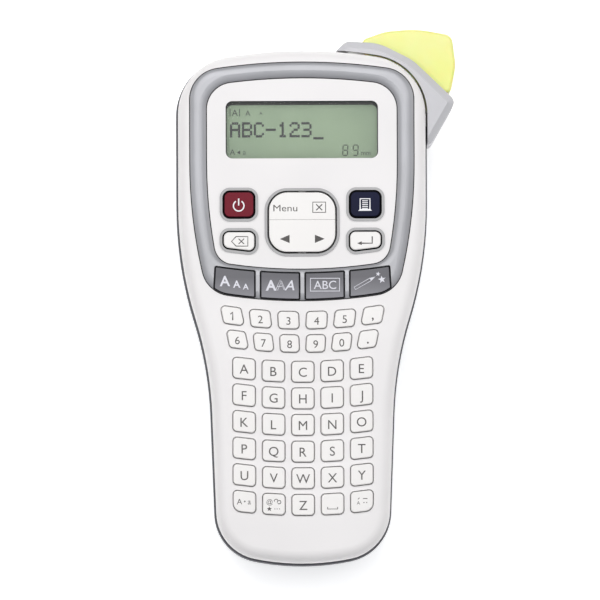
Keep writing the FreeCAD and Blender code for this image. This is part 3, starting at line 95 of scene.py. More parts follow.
# fine surface texture: noise of a real size in mm drives bump and roughness, a broader one drifts the colour
def addGrain(tree, bsdf, grain):
    place = addNode(tree, "ShaderNodeTexCoord")
    fine = addNode(tree, "ShaderNodeTexNoise",
                   {"Scale": 1 / (grain["size"] * mm), "Detail": 3.0, "Roughness": 0.6},
                   {"Vector": place.outputs["Object"]})
    broad = addNode(tree, "ShaderNodeTexNoise", {"Scale": 1 / (grain["drift"] * mm), "Detail": 2.0},
                    {"Vector": place.outputs["Object"]})
    bump = addNode(tree, "ShaderNodeBump", {"Strength": grain["bump"], "Distance": grain["depth"] * mm},
                   {"Height": fine.outputs["Fac"]})
    tree.links.new(bump.outputs["Normal"], bsdf.inputs["Normal"])
    low, high = grain["roughness"]
    rough = addNode(tree, "ShaderNodeMapRange", {"To Min": low, "To Max": high},
                    {"Value": fine.outputs["Fac"]})
    tree.links.new(rough.outputs["Result"], bsdf.inputs["Roughness"])
    tone = addNode(tree, "ShaderNodeValToRGB", {}, {"Fac": broad.outputs["Fac"]})
    for element, position, colour in zip(tone.color_ramp.elements, (0.3, 0.7), grain["colours"]):
        element.position = position
        element.color = linear(colour)
    tree.links.new(tone.outputs["Color"], bsdf.inputs["Base Color"])
    return {"place": place, "fine": fine, "tone": tone}


# anything that isn't metal or clear: a fine grain size mm across over an even colour. The real grain, such as
# the 0.05 mm that a spark-eroded mould leaves, is too fine to show and is drawn coarser
def grainedSurface(name, colours, size=0.35, depth=0.012, bump=0.35, roughness=(0.38, 0.5), specular=0.5,
                   ior=1.53):
    material, tree, bsdf = newMaterial(name, {"IOR": ior, "Specular IOR Level": specular})
    addGrain(tree, bsdf, {"size": size, "drift": 40, "bump": bump, "depth": depth, "roughness": roughness,
                          "colours": colours})
    return material


# moulded ABS, warm white: soft broad highlights and an even satin skin
absWhite = grainedSurface("moulded ABS warm white", ("#E9E6E5", "#EEEBEA"))
# moulded ABS, key caps: a touch smoother than the casing, so each cap catches its own light
keyCapAbs = grainedSurface("moulded ABS key caps", ("#EEEBE8", "#F2EFEC"), size=0.25, roughness=(0.3, 0.4))
# moulded ABS, dark grey: a coarser spark-eroded grain kills the shine of the back
absGrey = grainedSurface("textured ABS grey", ("#58585D", "#636368"), size=0.8, depth=0.06, bump=0.8,
                         roughness=(0.48, 0.64))
# moulded ABS, light grey: the cutter's cover, a shade cooler and smoother than the shells
absCover = grainedSurface("moulded ABS light grey", ("#C4C3C6", "#CBCACD"), roughness=(0.35, 0.45))
# grey ABS: the flat grey bands round the command keys, nearly without grain
absSurround = grainedSurface("grey key surround bands", ("#A9A8A8", "#B1B0B0"), size=0.2, depth=0.004,
                             roughness=(0.4, 0.5))
# moulded ABS, black: parts out of sight, dull and even
absBlack = grainedSurface("moulded ABS black", ("#1D1E20", "#26272A"), roughness=(0.4, 0.55))
# tinted glossy ABS: saturated caps; darker copies paint shade on their rounded edges, so the tops look dished
commandMaroon = grainedSurface("glossy maroon ABS", ("#6E0A20", "#781026"), size=0.3, depth=0.004,
                               roughness=(0.28, 0.36), specular=0.12)
paintedMaroonEdgeShade = grainedSurface("maroon ABS painted edge shade", ("#2C0610", "#330813"), size=0.3, depth=0.004,
                            roughness=(0.3, 0.4), specular=0.12)
commandNavy = grainedSurface("glossy navy ABS", ("#050A26", "#0A1032"), size=0.3, depth=0.004,
                             roughness=(0.28, 0.36), specular=0.1)
paintedNavyEdgeShade = grainedSurface("navy ABS painted edge shade", ("#04060F", "#060916"), size=0.3, depth=0.004,
                          roughness=(0.3, 0.4), specular=0.1)
# pad-printed inks: a thin film, matt and nearly smooth
legendInk = grainedSurface("pad printed ink dark", ("#4A4644", "#54504E"), size=0.15, depth=0.002,
                           roughness=(0.5, 0.6))
legendWhite = grainedSurface("pad printed ink white", ("#F4F4F6", "#FBFBFC"), size=0.15, depth=0.002,
                             roughness=(0.5, 0.6))
legendSilver = grainedSurface("pad printed ink silver", ("#D8D7DE", "#E4E3EA"), size=0.15, depth=0.002,
                              roughness=(0.4, 0.5))
# moulded acetal: gears, slippery looking and a little waxy
acetal = grainedSurface("moulded acetal", ("#E4E0D2", "#ECE8DA"), roughness=(0.3, 0.4))
# moulded polystyrene: the cassette, a dark grey with an even sheen
cassetteAbs = grainedSurface("moulded polystyrene cassette", ("#35373B", "#3E4044"), roughness=(0.3, 0.42))
# wound films: edges of many layers, smooth and bright for the label tape, black for the ribbon
tapeFilm = grainedSurface("wound laminated film", ("#F0F0EA", "#F8F8F2"), size=0.2, roughness=(0.2, 0.3))
ribbonFilm = grainedSurface("wound ink ribbon", ("#141416", "#1C1C1F"), size=0.2, roughness=(0.15, 0.25))
# moulded silicone: the keypad mat, dull and soft to look at
siliconeMat = grainedSurface("moulded silicone", ("#C6C6C4", "#D0D0CE"), roughness=(0.55, 0.65), ior=1.43)
# ground nitrile rubber: the platen, black with a visible ground grain
groundRubber = grainedSurface("ground nitrile rubber", ("#232323", "#2C2C2C"), size=0.4, depth=0.02,
                              roughness=(0.7, 0.8))
# solder mask on laminate: the glossy green of a circuit board
boardMask = grainedSurface("solder masked laminate", ("#17603A", "#1E6C42"), size=0.5, roughness=(0.25, 0.35))
# shrink wrap: the cells' dark glossy sleeve
cellWrap = grainedSurface("shrink wrapped cell", ("#343A40", "#3E454C"), size=0.4, roughness=(0.2, 0.3))
# glazed alumina: the print head, smooth and nearly white
ceramic = grainedSurface("glazed alumina", ("#E2DED2", "#ECE8DC"), size=0.3, depth=0.003,
                         roughness=(0.12, 0.2))


# drawn or stamped metal: streaks run one way, 0.3 mm apart and about 5 mm long
def brushedMetal(name, colours, roughness):
    streak = {"apart": 0.3, "long": 5.0}
    material, tree, bsdf = newMaterial(name, {"Metallic": 1.0})
    grain = addGrain(tree, bsdf, {"size": streak["apart"], "drift": 6, "bump": 0.2, "depth": 0.006,
                                  "roughness": roughness, "colours": colours})
    stretch = addNode(tree, "ShaderNodeMapping", {"Scale": (1.0, streak["apart"] / streak["long"], 1.0)},
                      {"Vector": grain["place"].outputs["Object"]})
    tree.links.new(stretch.outputs["Vector"], grain["fine"].inputs["Vector"])
    return material


# silver lacquer over ABS: fine flakes give it a soft metallic sheen, brighter on the bevels
def silverPaint():
    shader = {"Metallic": 0.3, "IOR": 1.5, "Coat Weight": 0.25, "Coat Roughness": 0.2}
    material, tree, bsdf = newMaterial("silver lacquered ABS", shader)
    addGrain(tree, bsdf, {"size": 0.18, "drift": 25, "bump": 0.15, "depth": 0.004,
                          "roughness": (0.32, 0.44), "colours": ("#A0A0A3", "#A9A9AD")})
    return material


# tinted polycarbonate: light passes in and comes back yellow-green, deeper where walls stack up
def limePolycarbonate():
    shader = {"IOR": 1.58, "Transmission Weight": 0.12, "Subsurface Weight": 0.35, "Subsurface Scale": 4 * mm,
              "Specular IOR Level": 0.4}
    material, tree, bsdf = newMaterial("tinted polycarbonate", shader)
    addGrain(tree, bsdf, {"size": 0.5, "drift": 12, "bump": 0.2, "depth": 0.01,
                          "roughness": (0.24, 0.36), "colours": ("#FBFA8E", "#FDFCA2")})
    return material


# clear acrylic lens: nearly invisible from the front, with a thin gloss that wavers over 8 mm
def clearWindow():
    shader = {"Base Color": "#E6EEE0", "IOR": 1.49, "Alpha": 0.035}
    material, tree, bsdf = newMaterial("clear acrylic", shader)
    place = addNode(tree, "ShaderNodeTexCoord")
    haze = addNode(tree, "ShaderNodeTexNoise", {"Scale": 1 / (8 * mm), "Detail": 2.0},
                   {"Vector": place.outputs["Object"]})
    rough = addNode(tree, "ShaderNodeMapRange", {"To Min": 0.03, "To Max": 0.07},
                    {"Value": haze.outputs["Fac"]})
    tree.links.new(rough.outputs["Result"], bsdf.inputs["Roughness"])
    return material


# reflective liquid crystal: a grey-green polariser with a soft sheen and a faint mottle about 0.8 mm across
def displayGlass():
    material, tree, bsdf = newMaterial("reflective liquid crystal", {"IOR": 1.5})
    addGrain(tree, bsdf, {"size": 0.8, "drift": 30, "bump": 0.1, "depth": 0.004,
                          "roughness": (0.28, 0.36), "colours": ("#7F9478", "#8FA385")})
    return material


# moulded ABS, function keys: painted shade darkens their tone towards the bezel over 8 mm, as on dished caps
def functionKeysPaintedShade():
    shadeRamp = {"from": 3.5, "to": 11.5, "most": 0.75, "shade": "#8E8D92"}
    material, tree, bsdf = newMaterial("ABS function keys with painted shade", {"IOR": 1.53})
    grain = addGrain(tree, bsdf, {"size": 0.25, "drift": 40, "bump": 0.3, "depth": 0.01,
                                  "roughness": (0.3, 0.42), "colours": ("#7D7C83", "#868589")})
    axes = addNode(tree, "ShaderNodeSeparateXYZ", {}, {"Vector": grain["place"].outputs["Object"]})
    # painted shade: deeper along the key's own y, up to the most it reaches
    rise = addNode(tree, "ShaderNodeMapRange",
                   {"From Min": shadeRamp["from"] * mm, "From Max": shadeRamp["to"] * mm,
                    "To Min": 0.0, "To Max": shadeRamp["most"]},
                   {"Value": axes.outputs["Y"]})
    blend = addNode(tree, "ShaderNodeMixRGB", {"blend_type": "MULTIPLY", "Color2": linear(shadeRamp["shade"])},
                    {"Fac": rise.outputs["Result"], "Color1": grain["tone"].outputs["Color"]})
    tree.links.new(blend.outputs["Color"], bsdf.inputs["Base Color"])
    return material


# nickel plate and stamped aluminium: bright streaked metal on screws, springs and brackets
springSteel = brushedMetal("nickel plated steel", ("#A9ACB0", "#BDBFC2"), (0.22, 0.38))
aluminium = brushedMetal("stamped aluminium", ("#B3B6BA", "#C6C8CB"), (0.3, 0.45))
functionGrey = functionKeysPaintedShade()
silverLacquer = silverPaint()
limeTint = limePolycarbonate()
acrylic = clearWindow()
liquidCrystal = displayGlass()
print("materials made")

finishes = {
    "front_housing": absWhite, "rear_housing": absGrey, "back_cover": absGrey, "bezel_ring": silverLacquer,
    "key_surrounds": absSurround, "lcd_window": acrylic, "lcd_module": liquidCrystal,
    "cutter_cover": absCover, "cutter_lever": limeTint, "keypad_mat": siliconeMat, "main_board": boardMask,
    "power_jack": absBlack, "chassis": absBlack, "print_head": ceramic, "head_holder": aluminium,
    "platen_roller": groundRubber, "cassette_case": cassetteAbs, "tape_roll": tapeFilm,
    "ribbon_supply": ribbonFilm, "ribbon_takeup": ribbonFilm, "batteries": cellWrap,
    "power_key": commandMaroon, "print_key": commandNavy, "size_key": functionGrey,
    "style_key": functionGrey, "frame_key": functionGrey, "symbol_key": functionGrey,
}
for name in ("platen_gear", "motor_pinion", "idler_gear_1", "idler_gear_2", "takeup_gear"):
    finishes[name] = acetal
for name in ("roller_holder", "drive_motor", "gear_axles", "moving_blade", "fixed_blade", "cutter_spring",
             "cutter_pivot_pin", "battery_springs", "battery_contacts", "housing_screws", "board_screws",
             "chassis_screws"):
    finishes[name] = springSteel
for name, node in nodes.items():
    node.data.materials.clear()
    node.data.materials.append(finishes.get(name, keyCapAbs))
    for face in node.data.polygons:
        face.material_index = 0

# walls of the openings and flanks of the function keys: dark and matt painted shade, so that every gap reads
# as a thin line
gapPaintedShade = grainedSurface("painted shade on opening walls", ("#4C4948", "#565352"),
                              roughness=(0.75, 0.85), specular=0.1)
gapPaintedDeepShade = grainedSurface("painted deep shade in openings", ("#19191B", "#202022"),
                              roughness=(0.75, 0.85), specular=0.1)


# faces whose upward lean lies between two limits, inside ranges of x, y and z in mm, get their own slot
def shadeWalls(name, material, lean, region):
    mesh = nodes[name].data
    mesh.materials.append(material)
    slotIndex = len(mesh.materials) - 1
    for polygon in mesh.polygons:
        place = polygon.center / mm
        within = all(low < value < high for value, (low, high) in zip(place, region))
        if within and lean[0] < polygon.normal.z < lean[1]:
            polygon.material_index = slotIndex


# painted shade on the key holes' walls, the groove floor round the bezel and the walls of surrounds and bezel
# ring
shades = [
    ("front_housing", gapPaintedShade, (-1.1, 0.3), ((-31, 31), (-88, 1.5), (52.9, 55.99))),
    ("front_housing", gapPaintedDeepShade, (-1.1, 0.3), ((-46, 46), (1.5, 99), (52.9, 55.99))),
    ("front_housing", gapPaintedDeepShade, (0.95, 1.1), ((-46, 46), (1.5, 99), (54.9, 55.1))),
    ("key_surrounds", gapPaintedDeepShade, (-1.1, 0.3), ((-50, 50), (0, 60), (55, 56.39))),
    ("bezel_ring", gapPaintedDeepShade, (-1.1, 0.3), ((-50, 50), (0, 100), (50, 58))),
]
# painted shade on the flanks and rounded edges of the function keys
shades += [(name, gapPaintedDeepShade, (-1.1, 0.96), ((-50, 50), (0, 40), (50, 58)))
           for name in ("size_key", "style_key", "frame_key", "symbol_key")]
# painted shade on the flanges and walls of the command and edit keys, seen down their gaps
shades += [(name, gapPaintedDeepShade, (-1.1, 1.1), ((-50, 50), (0, 60), (50, 55.8)))
           for name in ("power_key", "print_key", "backspace_key", "enter_key")]
# painted shade: darker copies of the cap colours on the rounded top edges of the power and print keys
shades += [("power_key", paintedMaroonEdgeShade, (-1.1, 0.95), ((-50, 50), (0, 60), (55.8, 60))),
           ("print_key", paintedNavyEdgeShade, (-1.1, 0.95), ((-50, 50), (0, 60), (55.8, 60)))]
# painted shade on the pad's outer flanks; the split between its halves stays white
shades += [("menu_rocker", gapPaintedDeepShade, (-1.1, 0.8), ((-50, 50), (33.8, 60), (50, 57))),
           ("arrow_rocker", gapPaintedDeepShade, (-1.1, 0.8), ((-50, 50), (0, 32.6), (50, 57)))]
for shade in shades:
    shadeWalls(*shade)
print("materials assigned")


# printed legends: thin raised ink on the key tops, one piece for each key or row; sizes in mm

ink = {"thickness": 0.04, "sunk": 0.01, "capHeight": 0.72, "bevelSteps": 2, "letterSteps": 4}


def addPiece(name, mesh, material, body):
    piece = bpy.data.objects.new(name, mesh)
    bpy.context.scene.collection.objects.link(piece)
    mesh.materials.clear()
    mesh.materials.append(material)
    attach(piece, body)
    return piece


def curveMesh(curve):
    holder = bpy.data.objects.new("holder", curve)
    bpy.context.scene.collection.objects.link(holder)
    graph = bpy.context.evaluated_depsgraph_get()
    mesh = bpy.data.meshes.new_from_object(holder.evaluated_get(graph))
    bpy.data.objects.remove(holder)
    return mesh


# the finished mesh of a bmesh, which is then freed
def meshOf(bm, name):
    mesh = bpy.data.meshes.new(name)
    bm.to_mesh(mesh)
    bm.free()
    return mesh


# letters whose capitals are height mm tall, centred on x, y and extruded like a film of ink
def letterInk(text, x, y, height, shear=0.0, bold=0.0, stretch=1.0):
    curve = bpy.data.curves.new("letters", "FONT")
    curve.body = text
    curve.size = 1.0
    curve.shear = shear
    curve.offset = bold
    curve.extrude = 0.5
    curve.resolution_u = ink["letterSteps"]
    mesh = curveMesh(curve)
    xs = [v.co.x for v in mesh.vertices]
    scale = height / ink["capHeight"]
    middle = (min(xs) + max(xs)) / 2
    mesh.transform(Matrix.Translation((-middle, -ink["capHeight"] / 2, 0)))
    mesh.transform(Matrix.Diagonal((scale * stretch, scale, ink["thickness"], 1)))
    mesh.transform(Matrix.Translation((x, y, 0)))
    return mesh


# flattened round strokes; each line is (points, closed) in mm
def strokeInk(lines, width):
    curve = bpy.data.curves.new("strokes", "CURVE")
    curve.dimensions = "3D"
    curve.bevel_depth = width / 2
    curve.bevel_resolution = ink["bevelSteps"]
    curve.use_fill_caps = True
    for points, closed in lines:
        spline = curve.splines.new("POLY")
        spline.points.add(len(points) - 1)
        for index, (x, y) in enumerate(points):
            spline.points[index].co = (x, y, 0, 1)
        spline.use_cyclic_u = closed
    mesh = curveMesh(curve)
    mesh.transform(Matrix.Diagonal((1, 1, ink["thickness"] / width, 1)))
    return mesh


# a flat filled shape
def fillInk(points):
    half = ink["thickness"] / 2
    bm = bmesh.new()
    low = [bm.verts.new((x, y, -half)) for x, y in points]
    high = [bm.verts.new((x, y, half)) for x, y in points]
    bm.faces.new(list(reversed(low)))
    bm.faces.new(high)
    for index in range(len(points)):
        following = (index + 1) % len(points)
        bm.faces.new((low[index], low[following], high[following], high[index]))
    return meshOf(bm, "fill")


# a thin closed border between two outlines with as many points each
def frameInk(outer, inner):
    half = ink["thickness"] / 2
    bm = bmesh.new()
    rings = [[bm.verts.new((x, y, z)) for x, y in outline]
             for outline, z in ((outer, half), (inner, half), (inner, -half), (outer, -half))]
    for turn in range(len(rings)):
        near, far = rings[turn], rings[(turn + 1) % len(rings)]
        for index in range(len(outer)):
            following = (index + 1) % len(outer)
            bm.faces.new((near[index], near[following], far[following], far[index]))
    return meshOf(bm, "border")


def arcPoints(x, y, radius, start, end, steps=20):
    turns = [math.radians(start + (end - start) * i / steps) for i in range(steps + 1)]
    return [(x + radius * math.cos(t), y + radius * math.sin(t)) for t in turns]


def boxPoints(x, y, width, height):
    return [(x - width / 2, y - height / 2), (x + width / 2, y - height / 2),
            (x + width / 2, y + height / 2), (x - width / 2, y + height / 2)]


def roundedBox(x, y, width, height, radius):
    points = []
    for sideX, sideY, start in ((1, 1, 0), (-1, 1, 90), (-1, -1, 180), (1, -1, 270)):
        cornerX = x + sideX * (width / 2 - radius)
        cornerY = y + sideY * (height / 2 - radius)
        points += arcPoints(cornerX, cornerY, radius, start, start + 90, 8)
    return points


# a five-pointed star; inner is the share of its reach at which the notches lie
def star(x, y, radius, turn=90.0, inner=0.42):
    points = []
    for step in range(10):
        reach = radius if step % 2 == 0 else radius * inner
        angle = math.radians(turn + 36 * step)
        points.append((x + reach * math.cos(angle), y + reach * math.sin(angle)))
    return points


# one mesh from several in mm, laid at a height in mm and turned to metres
def joined(meshes, height):
    bm = bmesh.new()
    for mesh in meshes:
        bm.from_mesh(mesh)
    whole = meshOf(bm, "legend")
    whole.transform(Matrix.Translation((0, 0, height)))
    whole.transform(Matrix.Diagonal((mm, mm, mm, 1)))
    return whole


# faces within flat mm of a node's top belong to a key, and those closer than gap mm to the same key
keyTops = {"flat": 0.02, "gap": 0.3}


# middle of each flat key top of a node in mm, left to right
def keyCentres(name):
    mesh = nodes[name].data
    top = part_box(name)[1].z
    spans = []
    for face in mesh.polygons:
        corners = [mesh.vertices[i].co for i in face.vertices]
        if min(c.z for c in corners) > top - keyTops["flat"] * mm:
            xs = [c.x for c in corners]
            ys = [c.y for c in corners]
            spans.append([min(xs), max(xs), min(ys), max(ys)])
    merged = []
    for span in sorted(spans):
        if merged and span[0] < merged[-1][1] + keyTops["gap"] * mm:
            last = merged[-1]
            merged[-1] = [last[0], max(last[1], span[1]), min(last[2], span[2]), max(last[3], span[3])]
        else:
            merged.append(span)
    return [((a + b) / 2 / mm, (c + d) / 2 / mm) for a, b, c, d in merged]


def addLegend(name, parts, material, node):
    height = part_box(node)[1].z / mm + ink["thickness"] / 2 - ink["sunk"]
    return addPiece(name, joined(parts, height), material, node + "_body")


# letters and numbers stand a little below the middle of their keys
letterLegend = {"rows": ("ABCDE", "FGHIJ", "KLMNO", "PQRST", "UVWXY"), "height": 3.8, "drop": 0.1}
for index, letters in enumerate(letterLegend["rows"]):
    node = "letter_row_%d" % (index + 1)
    parts = [letterInk(letter, x, y - letterLegend["drop"], letterLegend["height"])
             for letter, (x, y) in zip(letters, keyCentres(node))]
    addLegend("letters_row_%d" % (index + 1), parts, legendInk, node)

numberLegend = {"rows": ("12345,", "67890."), "height": 3.2, "drop": 0.25, "markHeight": 3.9, "markRise": 0.5,
                "markBold": 0.01, "flag": (0.75, 0.8), "stem": 0.15, "stroke": 0.55}


# a figure one with its flag, a larger comma and stop, and the typeface's own figures for the rest
def figureInk(digit, x, y):
    if digit == "1":
        flagX, flagY = numberLegend["flag"]
        stemX = x + numberLegend["stem"]
        half = numberLegend["height"] / 2
        points = [(x - flagX, y + half - flagY), (stemX, y + half), (stemX, y - half)]
        return strokeInk([(points, False)], numberLegend["stroke"])
    if digit in ",.":
        return letterInk(digit, x, y + numberLegend["markRise"], numberLegend["markHeight"],
                         bold=numberLegend["markBold"])
    return letterInk(digit, x, y, numberLegend["height"])


for index, digits in enumerate(numberLegend["rows"]):
    node = "number_row_%d" % (index + 1)
    parts = [figureInk(digit, x, y - numberLegend["drop"]) for digit, (x, y) in zip(digits, keyCentres(node))]
    addLegend("numbers_row_%d" % (index + 1), parts, legendInk, node)

# last row: change case, symbols, Z, space and accents; every place is from the middle of its key
lastRow = {
    "case": {"capital": -2.0, "dotAside": 0.1, "small": 1.9, "rise": 0.1, "height": 2.3, "dot": 0.32},
    "sign": {"at": (-1.7, 1.0), "atHeight": 1.9, "loops": ((0.9, 1.3, 200, -60), (2.1, 0.8, 140, -140)),
             "loop": 0.7, "stroke": 0.3, "star": (-1.8, -1.9), "starSize": 1.05, "dots": (0.4, 1.3, 2.2),
             "dotDrop": 1.9, "dot": 0.35},
    "letter": {"drop": 0.1, "height": 3.8},
    "space": {"half": 2.0, "from": 1.2, "to": 2.0, "stroke": 0.38},
    "accent": {"letter": (-1.4, -0.6), "height": 1.4, "acute": ((-1.6, 0.8), (-1.0, 1.4)),
               "macron": ((0.4, 1.1), (2.2, 1.1)), "stroke": 0.3, "dots": (0.8, 1.9), "dotDrop": 0.5,
               "dot": 0.4},
}


# points given from a key's middle, moved to that key
def shifted(points, x, y):
    return [(x + dx, y + dy) for dx, dy in points]


def caseMark(x, y):
    look = lastRow["case"]
    y += look["rise"]
    return [letterInk("A", x + look["capital"], y, look["height"]),
            fillInk(arcPoints(x + look["dotAside"], y, look["dot"], 0, 342, 19)),
            letterInk("a", x + look["small"], y, look["height"])]


def signMark(x, y):
    look = lastRow["sign"]
    atX, atY = look["at"]
    starX, starY = look["star"]
    loops = [(arcPoints(x + dx, y + dy, look["loop"], start, end, 12), False)
             for dx, dy, start, end in look["loops"]]
    dots = [fillInk(boxPoints(x + dx, y - look["dotDrop"], look["dot"], look["dot"])) for dx in look["dots"]]
    return [letterInk("@", x + atX, y + atY, look["atHeight"]), strokeInk(loops, look["stroke"]),
            fillInk(star(x + starX, y + starY, look["starSize"]))] + dots


def spaceMark(x, y):
    look = lastRow["space"]
    left, right = x - look["half"], x + look["half"]
    high, low = y - look["from"], y - look["to"]
    return [strokeInk([([(left, high), (left, low), (right, low), (right, high)], False)], look["stroke"])]


def accentMark(x, y):
    look = lastRow["accent"]
    letterX, letterY = look["letter"]
    accents = [(shifted(look["acute"], x, y), False), (shifted(look["macron"], x, y), False)]
    dots = [fillInk(boxPoints(x + dx, y - look["dotDrop"], look["dot"], look["dot"])) for dx in look["dots"]]
    return [letterInk("A", x + letterX, y + letterY, look["height"]),
            strokeInk(accents, look["stroke"])] + dots


caseKey, signKey, zKey, spaceKey, accentKey = keyCentres("letter_row_6")
parts = caseMark(*caseKey) + signMark(*signKey)
parts.append(letterInk("Z", zKey[0], zKey[1] - lastRow["letter"]["drop"], lastRow["letter"]["height"]))
parts += spaceMark(*spaceKey) + accentMark(*accentKey)
addLegend("letters_row_6", parts, legendInk, "letter_row_6")

# round pad: the word and the boxed cross above, the two arrows below
padLegend = {"word": (-6.7, 39.1), "wordHeight": 2.7, "wordStretch": 1.2, "cross": (6.8, 39.3),
             "box": (5.1, 4.1), "arm": 1.2, "stroke": 0.42, "arrow": (7.0, 26.7), "arrowSize": (3.9, 3.3)}


# two strokes that cross at x, y
def crossLines(x, y, armX, armY):
    return [([(x - armX, y - armY), (x + armX, y + armY)], False),
            ([(x - armX, y + armY), (x + armX, y - armY)], False)]


x, y = padLegend["cross"]
parts = [
    letterInk("Menu", *padLegend["word"], padLegend["wordHeight"], stretch=padLegend["wordStretch"]),
    strokeInk([(boxPoints(x, y, *padLegend["box"]), True)], padLegend["stroke"]),
    strokeInk(crossLines(x, y, padLegend["arm"], padLegend["arm"]), padLegend["stroke"]),
]
addPiece("menu_legend", joined(parts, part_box("menu_rocker")[1].z / mm), legendInk, "menu_pad")

x, y = padLegend["arrow"]
width, height = padLegend["arrowSize"]
parts = []
for side in (1, -1):
    base, point = side * (x - width / 2), side * (x + width / 2)
    parts.append(fillInk([(base, y + side * height / 2), (base, y - side * height / 2), (point, y)]))
addPiece("arrow_legend", joined(parts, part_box("arrow_rocker")[1].z / mm), legendInk, "arrow_pad")

# power key: an open ring with a bar through its gap
powerIcon = {"centre": (-25.3, 40.3), "radius": 2.1, "drop": 0.3, "turn": (122, 418), "bar": (-0.2, 2.6),
             "stroke": 0.55}
x, y = powerIcon["centre"]
ring = arcPoints(x, y - powerIcon["drop"], powerIcon["radius"], *powerIcon["turn"], 32)
bar = [(x, y + end) for end in powerIcon["bar"]]
parts = [strokeInk([(ring, False), (bar, False)], powerIcon["stroke"])]
addLegend("power_icon", parts, legendWhite, "power_key")

# print key: a sheet with lines of text over a tray
printIcon = {"centre": (25.1, 40.5), "width": 3.9, "height": 4.3, "stroke": 0.5, "open": 0.2,
             "rows": (1.3, 0.55, -0.2, -0.95, -1.7), "rowInset": 0.8, "rowStroke": 0.36,
             "tray": {"top": 0.1, "bottom": 0.8, "drop": 0.5}}
x, y = printIcon["centre"]
half, rise = printIcon["width"] / 2, printIcon["height"] / 2
foot = y - rise + printIcon["open"]
sheet = [(x - half, foot), (x - half, y + rise), (x + half, y + rise), (x + half, foot)]
inset = half - printIcon["rowInset"]
rows = [([(x - inset, y + row), (x + inset, y + row)], False) for row in printIcon["rows"]]
tray = printIcon["tray"]
trayFoot = y - rise - tray["drop"]
parts = [
    strokeInk([(sheet, False)], printIcon["stroke"]),
    strokeInk(rows, printIcon["rowStroke"]),
    fillInk([(x - half - tray["bottom"], trayFoot), (x + half + tray["bottom"], trayFoot),
             (x + half + tray["top"], foot), (x - half - tray["top"], foot)]),
]
addLegend("print_icon", parts, legendWhite, "print_key")

# erase key: a pointed tag with a cross
eraseIcon = {"centre": (-24.9, 25.8), "point": -3.3, "shoulder": -1.5, "end": 3.2, "rise": 1.9, "stroke": 0.4,
             "cross": 0.6, "arm": (1.1, 1.05), "crossStroke": 0.36}
x, y = eraseIcon["centre"]
shoulder, end, rise = x + eraseIcon["shoulder"], x + eraseIcon["end"], eraseIcon["rise"]
tag = [(x + eraseIcon["point"], y), (shoulder, y - rise), (end, y - rise), (end, y + rise),
       (shoulder, y + rise)]
parts = [
    strokeInk([(tag, True)], eraseIcon["stroke"]),
    strokeInk(crossLines(x + eraseIcon["cross"], y, *eraseIcon["arm"]), eraseIcon["crossStroke"]),
]
addLegend("erase_icon", parts, legendInk, "backspace_key")

# enter key: a line that drops and turns left to its arrow head
enterIcon = {"centre": (25.1, 25.8), "stroke": 0.52, "line": ((2.8, 1.8), (2.8, -0.9), (-1.9, -0.9)),
             "head": ((-3.2, -0.9), (-1.4, -1.65), (-1.4, -0.15))}
parts = [
    strokeInk([(shifted(enterIcon["line"], *enterIcon["centre"]), False)], enterIcon["stroke"]),
    fillInk(shifted(enterIcon["head"], *enterIcon["centre"])),
]
addLegend("enter_icon", parts, legendInk, "enter_key")

# size key: three letters, each smaller than the last
sizeIcon = {"letters": ((-30.9, 10.1, 4.1), (-26.2, 8.8, 2.9), (-22.6, 7.8, 2.3)), "bold": 0.02}
parts = [letterInk("A", x, y, height, bold=sizeIcon["bold"]) for x, y, height in sizeIcon["letters"]]
addLegend("size_icon", parts, legendSilver, "size_key")

# style key: a bold, a doubled outline and a leaning letter
styleIcon = {"height": 4.1, "middle": 8.3, "bold": (-12.5, 0.03), "leaning": (-5.2, 0.01), "lean": 0.25,
             "stroke": 0.26, "lines": (((-10.6, 6.4), (-8.9, 10.4), (-7.3, 6.4)), ((-9.9, 7.8), (-8.1, 7.8)),
                                       ((-9.9, 6.2), (-8.3, 10.0), (-6.8, 6.2)))}
boldX, boldWeight = styleIcon["bold"]
leaningX, leaningWeight = styleIcon["leaning"]
parts = [
    letterInk("A", boldX, styleIcon["middle"], styleIcon["height"], bold=boldWeight),
    strokeInk([(line, False) for line in styleIcon["lines"]], styleIcon["stroke"]),
    letterInk("A", leaningX, styleIcon["middle"], styleIcon["height"], styleIcon["lean"], leaningWeight),
]
addLegend("style_icon", parts, legendSilver, "style_key")

# frame key: three letters in a box
frameIcon = {"centre": (9.0, 8.4), "outer": (11.6, 5.1), "stroke": 0.42, "letters": 3.4}
parts = [
    strokeInk([(boxPoints(*frameIcon["centre"], *frameIcon["outer"]), True)], frameIcon["stroke"]),
    letterInk("ABC", *frameIcon["centre"], frameIcon["letters"]),
]
addLegend("frame_icon", parts, legendSilver, "frame_key")

# symbol key: a pen whose point is filled, and two stars
penIcon = {"tail": (20.9, 6.9), "tip": (29.0, 11.5), "width": 1.15, "point": 2.2, "stroke": 0.24,
           "stars": ((30.2, 12.6, 1.0, 80), (31.7, 10.4, 1.55, 100))}
tail, tip = Vector(penIcon["tail"]), Vector(penIcon["tip"])
along = (tip - tail).normalized()
aslant = Vector((-along.y, along.x)) * penIcon["width"] / 2
neck = tip - along * penIcon["point"]
parts = [
    strokeInk([([tail + aslant, neck + aslant, tip, neck - aslant, tail - aslant], True)], penIcon["stroke"]),
    fillInk([neck + aslant, neck - aslant, tip]),
]
parts += [fillInk(star(*place)) for place in penIcon["stars"]]
addLegend("symbol_icon", parts, legendSilver, "symbol_key")
print("key legends printed")


# display: dark segments on the glass of the module, one piece for the text and one for the fainter marks

# segments that the crystal has turned dark: nearly black, as glossy as the glass they lie in
segmentInk = grainedSurface("dark liquid crystal segments", ("#01060A", "#040B10"), size=0.4, depth=0.002,
                            roughness=(0.3, 0.4))
markInk = grainedSurface("faint liquid crystal segments", ("#0C1711", "#142019"), size=0.4, depth=0.002,
                         roughness=(0.3, 0.4))
